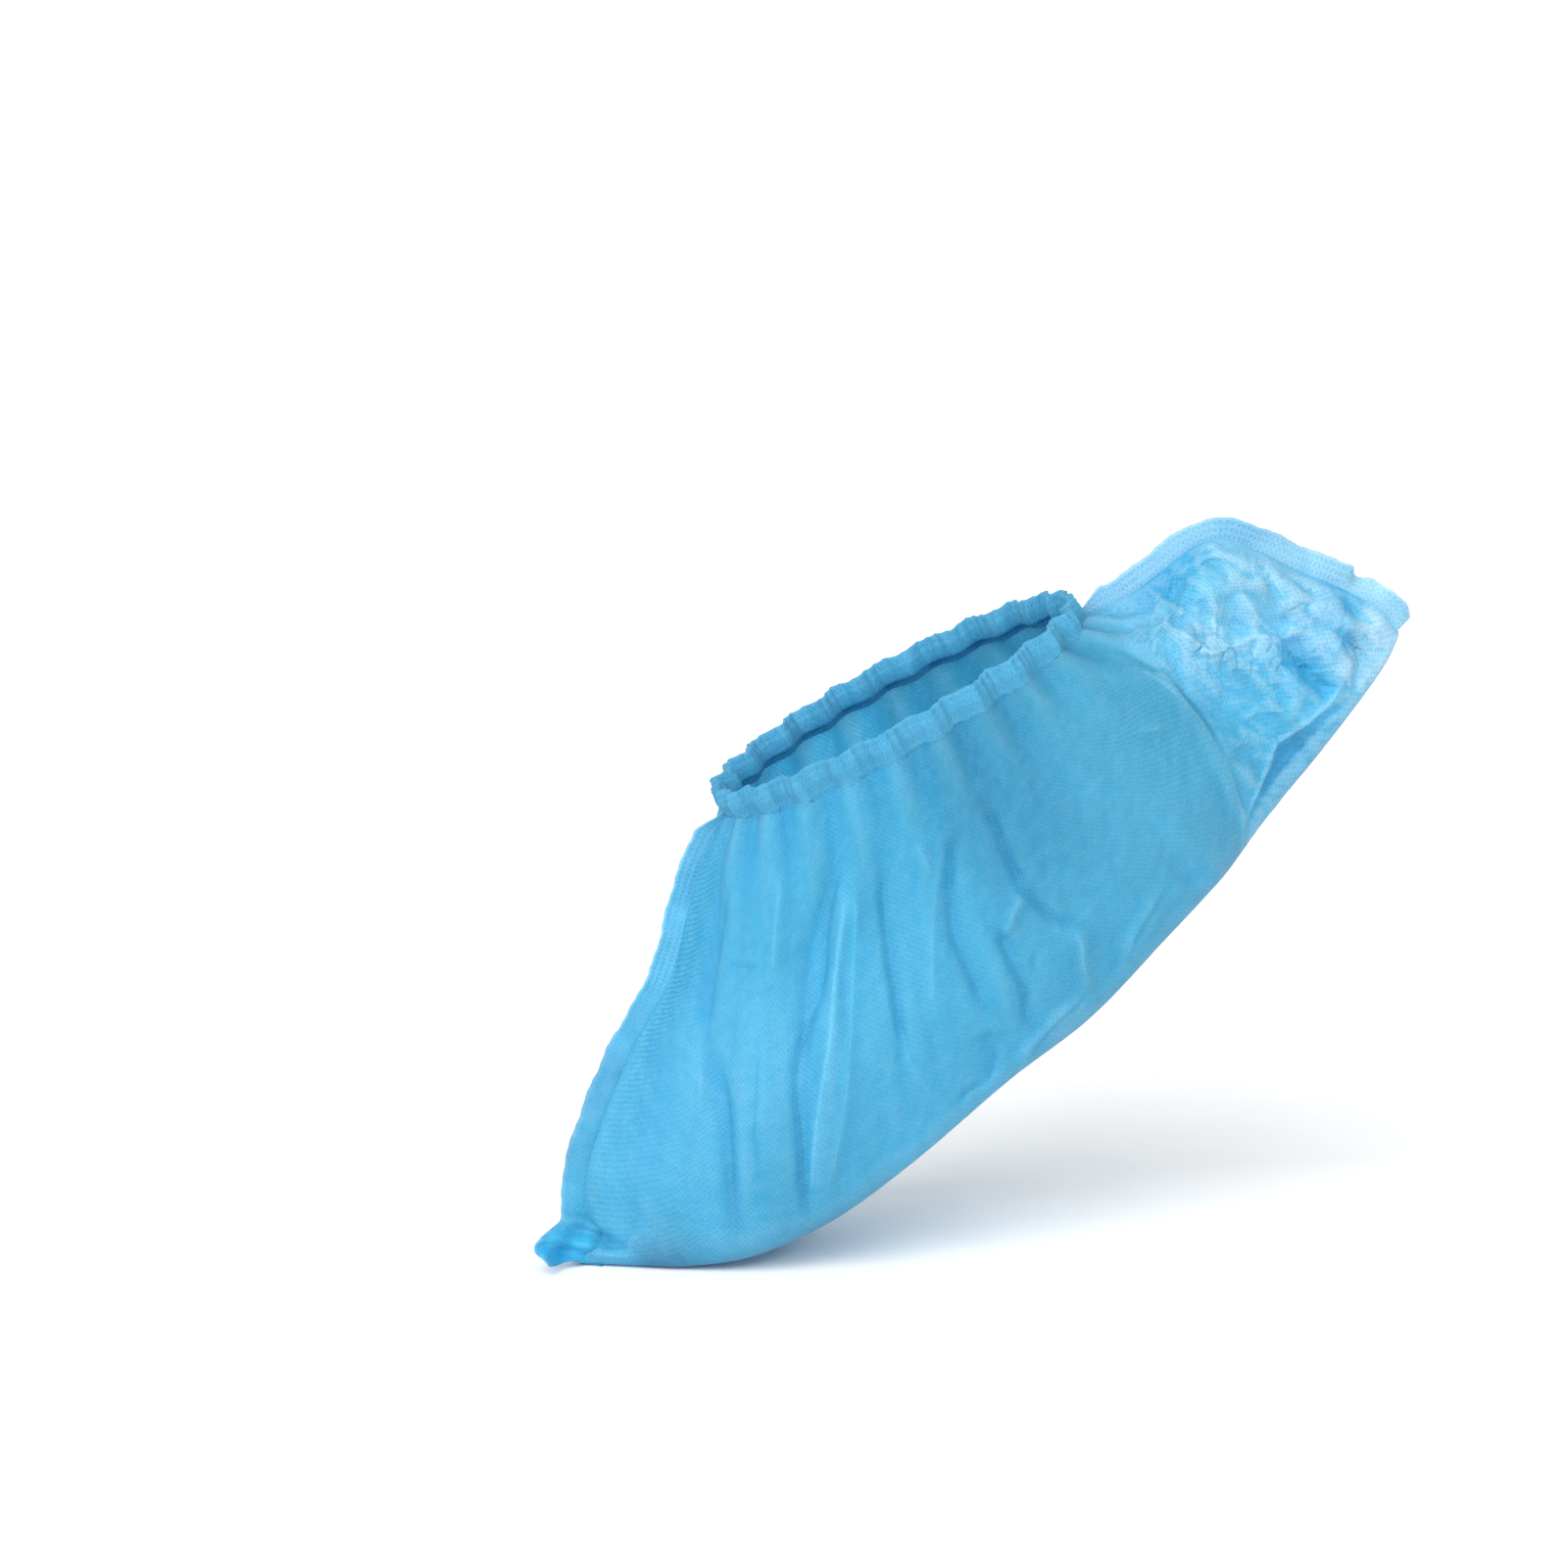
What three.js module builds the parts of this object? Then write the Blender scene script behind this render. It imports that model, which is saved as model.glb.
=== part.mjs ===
// Disposable medical shoe cover, as it sits on a foot that is rolling off its toes.
//
// It is one rectangular sheet of thin non-woven, folded under the sole and welded
// to itself up the toe and up the heel. The long upper edges are turned over into
// a casing, which an elastic band gathers round the ankle.
//
// Millimetres, +Z up, toe towards -X, the wearer's left towards -Y. The origin is
// on the inner face of the sole, under the toes that carry the foot. The sole lies
// flat on the ground there, and rises behind them with the lifted heel.

import * as THREE from "three";
import { mergeVertices } from "three/addons/utils/BufferGeometryUtils.js";

// ---- driving dimensions ---------------------------------------------------------

const WALL = 1.4; // sheet, thickened from 0.2 mm so that it makes a solid
const GAP = 0.3; // between the bag and its casing
const WELD_GAP = 0.5; // between the bag and its weld bands
const BAND_THICK = 1.6; // weld bands: two sheets, pressed together
const BAND_STOP = 4; // weld bands end this far before the opening
const STATIONS = 62; // grid steps from toe to heel
const RIB = { sole: 1, bend: 3, side: 11 }; // grid steps from the sole's middle to the opening
const RIB_STEPS = RIB.sole + RIB.bend + RIB.side;
const BAND_STEPS = 33; // grid steps along a weld band

// The sheet is one piece. It is cut across into three lengths, each up to a grid
// step, so that the collision made from each follows its part of the hollow.
const LENGTHS = [
  { name: "cover_front", from: 0, to: 20 },
  { name: "cover_middle", from: 20, to: 41 },
  { name: "cover_back", from: 41, to: STATIONS },
];

// Opening: an ellipse square to the shin, which leans forward over the toes.
const OPENING = { x: 96, z: 191, halfLength: 72, halfWidth: 41, slope: 27 };
const GATHERS = { count: 24, height: 2.2, reach: 0.35 };
const HEM = { height: 10, channel: 1.4, bottom: 1.5 };
const ELASTIC = { height: 5, thick: 0.7 };

// ---- tables -----------------------------------------------------------------------

// Middle of the sole from the toe weld to the heel weld, on its inner face.
const SOLE_LINE = [
  { x: -26, y: -14, z: 0 },
  { x: -10, y: -6, z: 0 },
  { x: 8, y: 0, z: 0 },
  { x: 31, y: 0, z: 4 },
  { x: 58, y: 0, z: 14.5 },
  { x: 88, y: 0, z: 33.5 },
  { x: 126, y: 0, z: 61.5 },
  { x: 157.5, y: 0, z: 83 },
  { x: 188, y: 0, z: 113 },
  { x: 218, y: 0, z: 143 },
  { x: 249, y: 0, z: 173 },
  { x: 273.5, y: 0, z: 203 },
  { x: 280, y: 0, z: 215 },
];

// Toe weld, from the sole to the front of the opening. The cover has turned a
// little on the shoe, so the weld's foot lies towards the near side.
const TOE_LINE = [
  { x: -26, y: -14, z: 0 },
  { x: -23, y: -9, z: 15 },
  { x: -21, y: -6, z: 31 },
  { x: -17, y: -4, z: 43 },
  { x: -9, y: -2, z: 62 },
  { x: 0, y: 0, z: 80 },
  { x: 10.5, y: 0, z: 99 },
  { x: 21.5, y: 0, z: 136 },
];

// Heel weld, from the sole over the empty pocket to the back of the opening.
const HEEL_LINE = [
  { x: 280, y: 0, z: 215 },
  { x: 273.5, y: 0, z: 223 },
  { x: 259, y: 0, z: 231 },
  { x: 240, y: 0, z: 239 },
  { x: 227, y: 0, z: 245.5 },
  { x: 213, y: 0, z: 250 },
  { x: 202, y: 0, z: 247 },
  { x: 190, y: 0, z: 238 },
  { x: 176, y: 0, z: 229 },
];

// Half widths of the cover across each rib, by distance along the sole: at the
// edge of the sole, on the side of the shoe, and high on the instep or heel. bend
// is half the stretch over which the sole turns up into the side.
const WIDTHS = [
  { along: 0, sole: 0, side: 0, upper: 0, bend: 0 },
  { along: 18, sole: 18, side: 12, upper: 6, bend: 7 },
  { along: 40, sole: 33, side: 29, upper: 17, bend: 9 },
  { along: 70, sole: 40, side: 42, upper: 26, bend: 9 },
  { along: 105, sole: 41, side: 45, upper: 31, bend: 9 },
  { along: 150, sole: 37, side: 43, upper: 34, bend: 8 },
  { along: 200, sole: 31, side: 38, upper: 37, bend: 7 },
  { along: 245, sole: 30, side: 36, upper: 37, bend: 7 },
  { along: 285, sole: 29, side: 35, upper: 35, bend: 7 },
  { along: 312, sole: 19, side: 29, upper: 29, bend: 6 },
  { along: 335, sole: 11, side: 19, upper: 23, bend: 5 },
  { along: 365, sole: 6, side: 11, upper: 16, bend: 4 },
  { along: 390, sole: 3, side: 5, upper: 7, bend: 2 },
  { along: 402, sole: 0, side: 0, upper: 0, bend: 0 },
];
const SIDE_AT = 0.3; // height of the "side" column, as a share of the rib
const UPPER_AT = 0.65; // and of the "upper" column

// Folds of the near side, each from (x1, z1) to (x2, z2) and bowed sideways by
// bow, to the left when going that way. height is negative for a valley.
const FOLDS = [
  // Instep: drawn from the gathers down to the sole.
  { x1: 27, z1: 141, x2: 18, z2: 83, bow: 0, width: 4.5, height: -3.5 },
  { x1: 44, z1: 143, x2: 41, z2: 101, bow: 0, width: 4.5, height: 2.5 },
  { x1: 63, z1: 147, x2: 54, z2: 15, bow: 7, width: 5, height: -6 },
  { x1: 69, z1: 138, x2: 55, z2: 21, bow: 1, width: 4.5, height: 4 },
  { x1: 79, z1: 154, x2: 85, z2: 72, bow: -2, width: 3.5, height: -3.5 },
  { x1: 95, z1: 153, x2: 97, z2: 89, bow: 0, width: 6, height: 2.5 },
  { x1: 105, z1: 156, x2: 117, z2: 92, bow: 5, width: 5, height: -4 },
  // Toe.
  { x1: 21, z1: 79, x2: 27, z2: 14, bow: 0, width: 5, height: -3.5 },
  { x1: 15, z1: 84, x2: 13, z2: 25, bow: 0, width: 7, height: 2.5 },
  { x1: 35, z1: 52, x2: 34, z2: 22, bow: 0, width: 4, height: -2 },
  // Ankle, where the sheet creases with the bent foot.
  { x1: 116, z1: 168, x2: 131, z2: 133, bow: 0, width: 4, height: -3.5 },
  { x1: 131, z1: 133, x2: 151, z2: 119, bow: 0, width: 3.5, height: -2.5 },
  { x1: 121, z1: 121, x2: 134, z2: 83, bow: -3, width: 4, height: -3.5 },
  { x1: 118, z1: 83, x2: 120, z2: 66, bow: 2, width: 6, height: -3 },
  { x1: 131, z1: 132, x2: 123, z2: 118, bow: 0, width: 4, height: 2.5 },
  { x1: 151, z1: 118, x2: 155, z2: 94, bow: 0, width: 4, height: 2.5 },
  // Edge of the sole.
  { x1: 129, z1: 67, x2: 163, z2: 95, bow: -2, width: 4, height: 2.5 },
  { x1: 170, z1: 103, x2: 189, z2: 133, bow: -1, width: 5, height: 2.5 },
  // Empty pocket behind the heel.
  { x1: 188, z1: 219, x2: 224, z2: 218, bow: 5, width: 5, height: 5 },
  { x1: 226, z1: 217, x2: 247, z2: 197, bow: 0, width: 4, height: 4 },
  { x1: 229, z1: 221, x2: 250, z2: 201, bow: -2, width: 4.5, height: -6 },
  { x1: 227, z1: 177, x2: 262, z2: 210, bow: 5, width: 5, height: -6 },
  { x1: 223, z1: 185, x2: 218, z2: 152, bow: -2, width: 4, height: 3 },
  { x1: 212, z1: 239, x2: 234, z2: 218, bow: 0, width: 4.5, height: -5 },
  { x1: 222, z1: 243, x2: 248, z2: 219, bow: 0, width: 5, height: 4 },
  { x1: 201, z1: 239, x2: 207, z2: 221, bow: 0, width: 5, height: -4 },
  { x1: 246, z1: 240, x2: 251, z2: 229, bow: 0, width: 4, height: -3 },
  { x1: 261, z1: 230, x2: 265, z2: 214, bow: 0, width: 4, height: -4 },
];
const FAR_SIDE = { dx: 5, dz: -4, share: 0.8 }; // the same folds, moved and eased

// Back of the shoe's heel inside the cover: the sheet steps in past this circle.
const HEEL_EDGE = { x: 132, z: 139, radius: 83.5, step: 7, width: 9 };

// Weld bands by share of the seam from the sole up: how far the band stands out
// from the weld, and how far its free edge leans to the far side.
const TOE_BAND = [
  { up: 0, out: 14, lean: -14 },
  { up: 0.03, out: 17, lean: -11 },
  { up: 0.07, out: 15, lean: -7 },
  { up: 0.11, out: 8.5, lean: 1 },
  { up: 0.2, out: 8, lean: 2 },
  { up: 0.42, out: 7.5, lean: 4 },
  { up: 0.52, out: 8.5, lean: -1.5 },
  { up: 0.75, out: 8.8, lean: -1 },
  { up: 1, out: 8.8, lean: 0 },
];
const HEEL_BAND = [
  { up: 0, out: 7, lean: 2 },
  { up: 0.06, out: 8, lean: -3 },
  { up: 0.13, out: 8, lean: 2 },
  { up: 0.17, out: 6, lean: 3 },
  { up: 0.21, out: 9.5, lean: -3 },
  { up: 0.33, out: 9, lean: 2 },
  { up: 0.5, out: 9, lean: -2 },
  { up: 0.7, out: 9, lean: 1.5 },
  { up: 1, out: 9, lean: 0 },
];

// ---- helpers ----------------------------------------------------------------------

const lerp = THREE.MathUtils.lerp;
const smooth = (t) => THREE.MathUtils.smoothstep(t, 0, 1);

// A smooth curve through a table's rows.
function curveThrough(rows) {
  const points = rows.map((r) => new THREE.Vector3(r.x, r.y, r.z));
  return new THREE.CatmullRomCurve3(points, false, "centripetal");
}

// Value of a table's column at a key, with smooth steps that never overshoot.
function column(rows, key, at, name) {
  let i = 1;
  while (i < rows.length - 1 && rows[i][key] < at) i += 1;
  const a = rows[i - 1];
  const b = rows[i];
  const slope = (p, q) => (q[name] - p[name]) / (q[key] - p[key]);
  const before = i > 1 ? slope(rows[i - 2], a) : slope(a, b);
  const here = slope(a, b);
  const after = i < rows.length - 1 ? slope(b, rows[i + 1]) : here;
  const tangent = (m, n) => (m * n > 0 ? (2 * m * n) / (m + n) : 0);
  const span = b[key] - a[key];
  const t = (at - a[key]) / span;
  return (
    a[name] * (1 + 2 * t) * (1 - t) ** 2 +
    tangent(before, here) * span * t * (1 - t) ** 2 +
    b[name] * t * t * (3 - 2 * t) -
    tangent(here, after) * span * t * t * (1 - t)
  );
}

// ---- the opening -------------------------------------------------------------------

const slope = THREE.MathUtils.degToRad(OPENING.slope);
const openingBack = new THREE.Vector3(Math.cos(slope), 0, Math.sin(slope));
const openingUp = new THREE.Vector3(-Math.sin(slope), 0, Math.cos(slope));

// Point of the opening's edge at a share of the way round one half, from front to
// back. side is -1 for the near half and 1 for the far half.
function rimPoint(share, side) {
  const angle = Math.PI * share;
  return new THREE.Vector3(OPENING.x, 0, OPENING.z)
    .addScaledVector(openingBack, -Math.cos(angle) * OPENING.halfLength)
    .setY(side * Math.sin(angle) * OPENING.halfWidth);
}

// Outward direction there, in the plane of the opening.
function rimOutward(share, side) {
  const angle = Math.PI * share;
  const across = share === 0 || share === 1 ? 0 : side * Math.sin(angle);
  return openingBack
    .clone()
    .multiplyScalar(-Math.cos(angle) * OPENING.halfWidth)
    .setY(across * OPENING.halfLength)
    .normalize();
}

// Gathers that the elastic draws up, as a height across the sheet. They stop at
// the two welds.
function gather(share, side) {
  const wander = 0.6 * Math.sin(5 * share + side) + 0.4 * Math.sin(13 * share);
  const wave = Math.sin(Math.PI * GATHERS.count * share + wander);
  return GATHERS.height * wave * smooth(share * 8) * smooth((1 - share) * 8);
}

// ---- the bag's smooth form --------------------------------------------------------

const soleCurve = curveThrough(SOLE_LINE);
const toeCurve = curveThrough([...TOE_LINE, rimPoint(0, -1)]);
const heelCurve = curveThrough([...HEEL_LINE, rimPoint(1, -1)]);
const toeEnds = [toeCurve.getPointAt(0), toeCurve.getPointAt(1)];
const heelEnds = [heelCurve.getPointAt(0), heelCurve.getPointAt(1)];

// How far a seam bows away from the straight line between its ends.
function seamBow(curve, ends, up) {
  return curve.getPointAt(up).sub(ends[0].clone().lerp(ends[1], up));
}

// Distance walked across the sheet from the middle of the sole to a grid row.
function walkTo(row, soleHalf, bend, height) {
  const stops = [0, soleHalf - bend, soleHalf + bend, soleHalf + height];
  const steps = [RIB.sole, RIB.bend, RIB.side];
  let past = 0;
  for (let i = 0; i < 2; i += 1) {
    if (row <= past + steps[i]) return lerp(stops[i], stops[i + 1], (row - past) / steps[i]);
    past += steps[i];
  }
  return lerp(stops[2], stops[3], (row - past) / steps[2]);
}

// The smooth bag at a place. share runs from the toe weld to the heel weld, and
// row from the middle of the sole to the opening. Gives the point of the inner
// face, its distance from the middle surface and its height as a share.
function bagPlace(share, row, side) {
  const along = share * WIDTHS.at(-1).along;
  const sole = soleCurve.getPointAt(share);
  sole.z = Math.max(sole.z, 0);
  const rim = rimPoint(share, side);
  const soleHalf = column(WIDTHS, "along", along, "sole");
  const bend = column(WIDTHS, "along", along, "bend") + 0.001;
  const height = Math.hypot(rim.x - sole.x, rim.z - sole.z);

  // How much of the way is upwards. The bend is an even turn from across to up.
  const walked = walkTo(row, soleHalf, bend, height);
  const past = walked - soleHalf;
  const climbed = Math.abs(past) < bend ? (past + bend) ** 2 / (4 * bend) : Math.max(past, 0);
  const up = Math.min(climbed / height, 1);

  const profile = [
    { up: 0, half: soleHalf },
    { up: SIDE_AT, half: column(WIDTHS, "along", along, "side") },
    { up: UPPER_AT, half: column(WIDTHS, "along", along, "upper") },
    { up: 1, half: Math.abs(rim.y) },
  ];
  const half = Math.max(walked - climbed - soleHalf + column(profile, "up", up, "half"), 0);
  const middle = sole
    .lerp(rim.setY(0), up)
    .addScaledVector(seamBow(toeCurve, toeEnds, up), 1 - smooth(share / 0.35))
    .addScaledVector(seamBow(heelCurve, heelEnds, up), smooth((share - 0.62) / 0.38));
  const point = middle.clone().setY(middle.y + side * half);
  return { point, half, up };
}

// Outward direction of the smooth form.
function bagNormal(share, row, side) {
  const clamp = THREE.MathUtils.clamp;
  const at = (s, r) => bagPlace(clamp(s, 0, 1), clamp(r, 0, RIB_STEPS), side).point;
  const across = at(share + 0.004, row).sub(at(share - 0.004, row));
  const upward = at(share, row + 0.05).sub(at(share, row - 0.05));
  return across.cross(upward).multiplyScalar(-side).normalize();
}

// ---- folds --------------------------------------------------------------------------

// Height of one fold at a point of the side.
function foldHeight(fold, x, z) {
  const dx = fold.x2 - fold.x1;
  const dz = fold.z2 - fold.z1;
  const length = Math.hypot(dx, dz);
  const t = ((x - fold.x1) * dx + (z - fold.z1) * dz) / length ** 2;
  const aside = ((x - fold.x1) * dz - (z - fold.z1) * dx) / length;
  const middle = Math.sin(Math.PI * THREE.MathUtils.clamp(t, 0, 1));
  const across = (aside - fold.bow * middle) / fold.width;
  const ends = smooth((t + 0.12) / 0.3) * smooth((1.12 - t) / 0.3);
  return fold.height * Math.exp(-across * across) * ends;
}

// Height of the sheet over the smooth form, from its folds and gathers.
function relief(share, side, place) {
  const near = side < 0;
  const x = place.point.x - (near ? 0 : FAR_SIDE.dx);
  const z = place.point.z - (near ? 0 : FAR_SIDE.dz);
  let height = FOLDS.reduce((sum, fold) => sum + foldHeight(fold, x, z), 0);
  if (!near) height *= FAR_SIDE.share;

  const beyond = Math.hypot(x - HEEL_EDGE.x, z - HEEL_EDGE.z) - HEEL_EDGE.radius;
  const behind = smooth((x - HEEL_EDGE.x - 20) / 30);
  height -= HEEL_EDGE.step * smooth(beyond / HEEL_EDGE.width) * smooth((60 - beyond) / 40) * behind;

  // The sole, the welds and the opening's edge keep their line.
  const clear = smooth(place.up / 0.1) * smooth((1 - place.up) / 0.14);
  const offWelds = smooth(share * 14) * smooth((1 - share) * 14);
  const gathered = gather(share, side) * smooth((place.up - 1 + GATHERS.reach) / GATHERS.reach);
  // A fold never pulls the sheet through the middle.
  return Math.max(height * clear * offWelds + gathered, -0.8 * place.half);
}

// Inner and outer point of the finished sheet.
function sheetPoints(share, row, side) {
  const place = bagPlace(share, row, side);
  let normal = bagNormal(share, row, side);
  if (row === 0) normal.setY(0).normalize();
  if (row === RIB_STEPS) normal = rimOutward(share, side);
  const height = relief(share, side, place);
  const at = (depth) => {
    const p = place.point.clone().addScaledVector(normal, height + depth);
    p.z = Math.max(p.z, -depth);
    return p;
  };
  return { inner: at(0), outer: at(WALL) };
}

// ---- meshes --------------------------------------------------------------------------

// One closed geometry from triangles, each given as three Vector3.
function closedGeometry(triangles) {
  const geometry = new THREE.BufferGeometry().setFromPoints(triangles.flat());
  return mergeVertices(geometry, 1e-3);
}

// The four-sided faces between two rows of points.
function strip(a, b) {
  const faces = [];
  for (let j = 0; j + 1 < a.length; j += 1) {
    faces.push([a[j], b[j + 1], b[j]], [a[j], a[j + 1], b[j + 1]]);
  }
  return faces;
}

// The same faces seen from behind.
const flipped = (faces) => faces.map(([a, b, c]) => [a, c, b]);

// Closed sections of equal size, skinned in order. A ring joins the last to the
// first, and anything else has its two ends closed.
function skin(sections, ring) {
  const triangles = [];
  const loops = sections.map((section) => [...section, section[0]]);
  for (let i = 0; i + 1 < loops.length; i += 1) triangles.push(...strip(loops[i], loops[i + 1]));
  if (ring) {
    triangles.push(...strip(loops.at(-1), loops[0]));
  } else {
    const first = sections[0];
    const last = sections.at(-1);
    for (let j = 1; j + 1 < first.length; j += 1) {
      triangles.push([first[0], first[j + 1], first[j]], [last[0], last[j], last[j + 1]]);
    }
  }
  return closedGeometry(triangles);
}

// One length of the bag: an inner and an outer face, joined round the opening and
// closed at both ends.
function bagGeometry({ from, to }) {
  const rows = [];
  for (let i = from; i <= to; i += 1) {
    const row = { inner: [], outer: [] };
    for (let j = -RIB_STEPS; j <= RIB_STEPS; j += 1) {
      const { inner, outer } = sheetPoints(i / STATIONS, Math.abs(j), j < 0 ? -1 : 1);
      row.inner.push(inner);
      row.outer.push(outer);
    }
    rows.push(row);
  }
  const triangles = [];
  for (let i = 0; i + 1 < rows.length; i += 1) {
    const a = rows[i];
    const b = rows[i + 1];
    triangles.push(
      ...strip(a.outer, b.outer),
      ...flipped(strip(a.inner, b.inner)),
      ...strip([a.inner[0], a.outer[0]], [b.inner[0], b.outer[0]]),
      ...strip([a.outer.at(-1), a.inner.at(-1)], [b.outer.at(-1), b.inner.at(-1)]),
    );
  }
  triangles.push(...(from === 0 ? weldFaces(rows[0]) : cutFaces(rows[0])));
  const last = to === STATIONS ? weldFaces(rows.at(-1)) : cutFaces(rows.at(-1));
  triangles.push(...flipped(last));
  return closedGeometry(triangles);
}

// Up a weld the outer faces of the two sides meet, outside the inner faces.
function weldFaces(row) {
  const near = row.outer.slice(0, RIB_STEPS + 1).reverse();
  const far = row.outer.slice(RIB_STEPS);
  return [[near.at(-1), row.inner[0], far.at(-1)], ...strip(near, far)];
}

// At a cut, the thickness of the sheet shows.
const cutFaces = (row) => strip(row.inner, row.outer);

// Point of a weld, straight between grid rows as the edge of the bag is.
function weldPoint(curve, up) {
  const row = Math.min(Math.floor(up * RIB.side), RIB.side - 1);
  const above = curve.getPointAt((row + 1) / RIB.side);
  return curve.getPointAt(row / RIB.side).lerp(above, up * RIB.side - row);
}

// A weld band: a flat strip that stands out from the weld and waves a little.
// outward is 1 where the outside lies to the left of the way up the seam.
function bandGeometry(curve, table, outward) {
  const sections = [];
  const reach = 1 - BAND_STOP / curve.getLength();
  for (let i = 0; i <= BAND_STEPS; i += 1) {
    const up = (reach * i) / BAND_STEPS;
    const weld = weldPoint(curve, up);
    const way = curve.getTangentAt(up);
    const away = new THREE.Vector3(-way.z, 0, way.x).multiplyScalar(outward);
    const out = column(table, "up", up, "out");
    const lean = column(table, "up", up, "lean");
    const corner = (share, thick) => {
      const p = weld.clone().addScaledVector(away, lerp(WALL + WELD_GAP, out, share));
      p.y += lean * share ** 1.5 + (thick * BAND_THICK) / 2;
      p.z = Math.max(p.z, -WALL);
      return p;
    };
    sections.push([
      corner(0, -1),
      corner(0.5, -1),
      corner(1, -1),
      corner(1, 1),
      corner(0.5, 1),
      corner(0, 1),
    ]);
  }
  if (outward > 0) sections.reverse();
  return skin(sections, false);
}

// A ring round the opening's inner edge. outline lists its section as distances
// outwards and upwards from that edge.
function ringGeometry(outline) {
  const sections = [];
  for (let i = 0; i < 2 * STATIONS; i += 1) {
    const side = i < STATIONS ? -1 : 1;
    const share = i < STATIONS ? i / STATIONS : 2 - i / STATIONS;
    const edge = sheetPoints(share, RIB_STEPS, side).inner;
    const outward = rimOutward(share, side);
    const place = ({ out, up }) =>
      edge.clone().addScaledVector(outward, out).addScaledVector(openingUp, up);
    sections.push(outline.map(place));
  }
  return skin(sections, true);
}

// The casing: up outside, over the elastic and down inside, with its cut edge free.
function hemGeometry() {
  const inside = -HEM.channel - WALL;
  return ringGeometry([
    { out: 0, up: GAP },
    { out: 0, up: HEM.height - WALL },
    { out: -HEM.channel, up: HEM.height - WALL },
    { out: -HEM.channel, up: HEM.bottom },
    { out: inside, up: HEM.bottom },
    { out: inside, up: HEM.height },
    { out: WALL, up: HEM.height },
    { out: WALL, up: GAP },
  ]);
}

// The elastic, flat in the middle of the casing.
function elasticGeometry() {
  const outer = (ELASTIC.thick - HEM.channel) / 2;
  const inner = outer - ELASTIC.thick;
  const low = (HEM.height - ELASTIC.height) / 2;
  return ringGeometry([
    { out: outer, up: low },
    { out: inner, up: low },
    { out: inner, up: low + ELASTIC.height },
    { out: outer, up: low + ELASTIC.height },
  ]);
}

// ---- the assembly ---------------------------------------------------------------------

const nonwoven = () => new THREE.MeshStandardMaterial({ color: 0x5ab8ea, roughness: 0.62 });
const welded = () => new THREE.MeshStandardMaterial({ color: 0x8fd0f2, roughness: 0.5 });
const elastic = () => new THREE.MeshStandardMaterial({ color: 0xf1f3f4, roughness: 0.7 });

const pieces = [
  ...LENGTHS.map((length) => ({
    name: length.name,
    geometry: bagGeometry(length),
    material: nonwoven(),
  })),
  { name: "toe_seam", geometry: bandGeometry(toeCurve, TOE_BAND, 1), material: welded() },
  { name: "heel_seam", geometry: bandGeometry(heelCurve, HEEL_BAND, -1), material: welded() },
  { name: "ankle_hem", geometry: hemGeometry(), material: nonwoven() },
  { name: "elastic_band", geometry: elasticGeometry(), material: elastic() },
];

const cover = new THREE.Group();
for (const { name, geometry, material } of pieces) {
  const mesh = new THREE.Mesh(geometry, material);
  mesh.name = name;
  cover.add(mesh);
}

export default cover;
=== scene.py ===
"""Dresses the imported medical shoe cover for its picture.

The sheet has the form of the CAD solids on a finer grid. A cloth simulation
buckles its empty pocket, and fine creases are then laid over the whole of it. The
weld bands, the gathered casing and the elastic stand for their own nodes. Lengths
are in millimetres until a mesh is made.
"""

import math

import bmesh
import bpy
import numpy as np
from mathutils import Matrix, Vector
from mathutils.geometry import delaunay_2d_cdt


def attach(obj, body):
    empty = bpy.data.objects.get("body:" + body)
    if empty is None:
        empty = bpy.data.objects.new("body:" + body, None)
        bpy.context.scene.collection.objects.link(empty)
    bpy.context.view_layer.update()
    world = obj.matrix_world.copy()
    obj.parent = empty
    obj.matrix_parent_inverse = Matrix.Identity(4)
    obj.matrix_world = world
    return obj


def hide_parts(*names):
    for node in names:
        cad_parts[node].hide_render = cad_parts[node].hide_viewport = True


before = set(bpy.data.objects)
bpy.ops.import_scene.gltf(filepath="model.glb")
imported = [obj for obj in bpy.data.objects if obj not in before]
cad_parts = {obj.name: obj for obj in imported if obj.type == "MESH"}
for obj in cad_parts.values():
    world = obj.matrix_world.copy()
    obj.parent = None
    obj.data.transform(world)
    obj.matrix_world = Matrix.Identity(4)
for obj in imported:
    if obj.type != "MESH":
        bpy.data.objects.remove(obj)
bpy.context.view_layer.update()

MM = 0.001  # metres in a millimetre


def columns(names, *rows):
    """A table as one array for each named column."""
    return dict(zip(names.split(), np.array(rows, float).T))


# ---- sizes, as in the CAD source ----

WALL = 1.4  # thickness of the sheet in CAD, so this sheet lies on its outer face
OPENING = {"x": 96, "z": 191, "half_length": 72, "half_width": 41, "slope": 27}
GATHERS = {"count": 24, "height": 2.2, "reach": 0.35}
SIDE_AT, UPPER_AT = 0.3, 0.65  # heights of two columns of WIDTHS, as shares of a rib
RIB_ENDS = (0, 1, 4, 15)  # rows at the sole's middle, both ends of the bend, the rim
HEEL_EDGE = {"x": 132, "z": 139, "radius": 83.5, "step": 7, "width": 9}
FAR_SIDE = {"dx": 5, "dz": -4, "share": 0.8}

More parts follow.
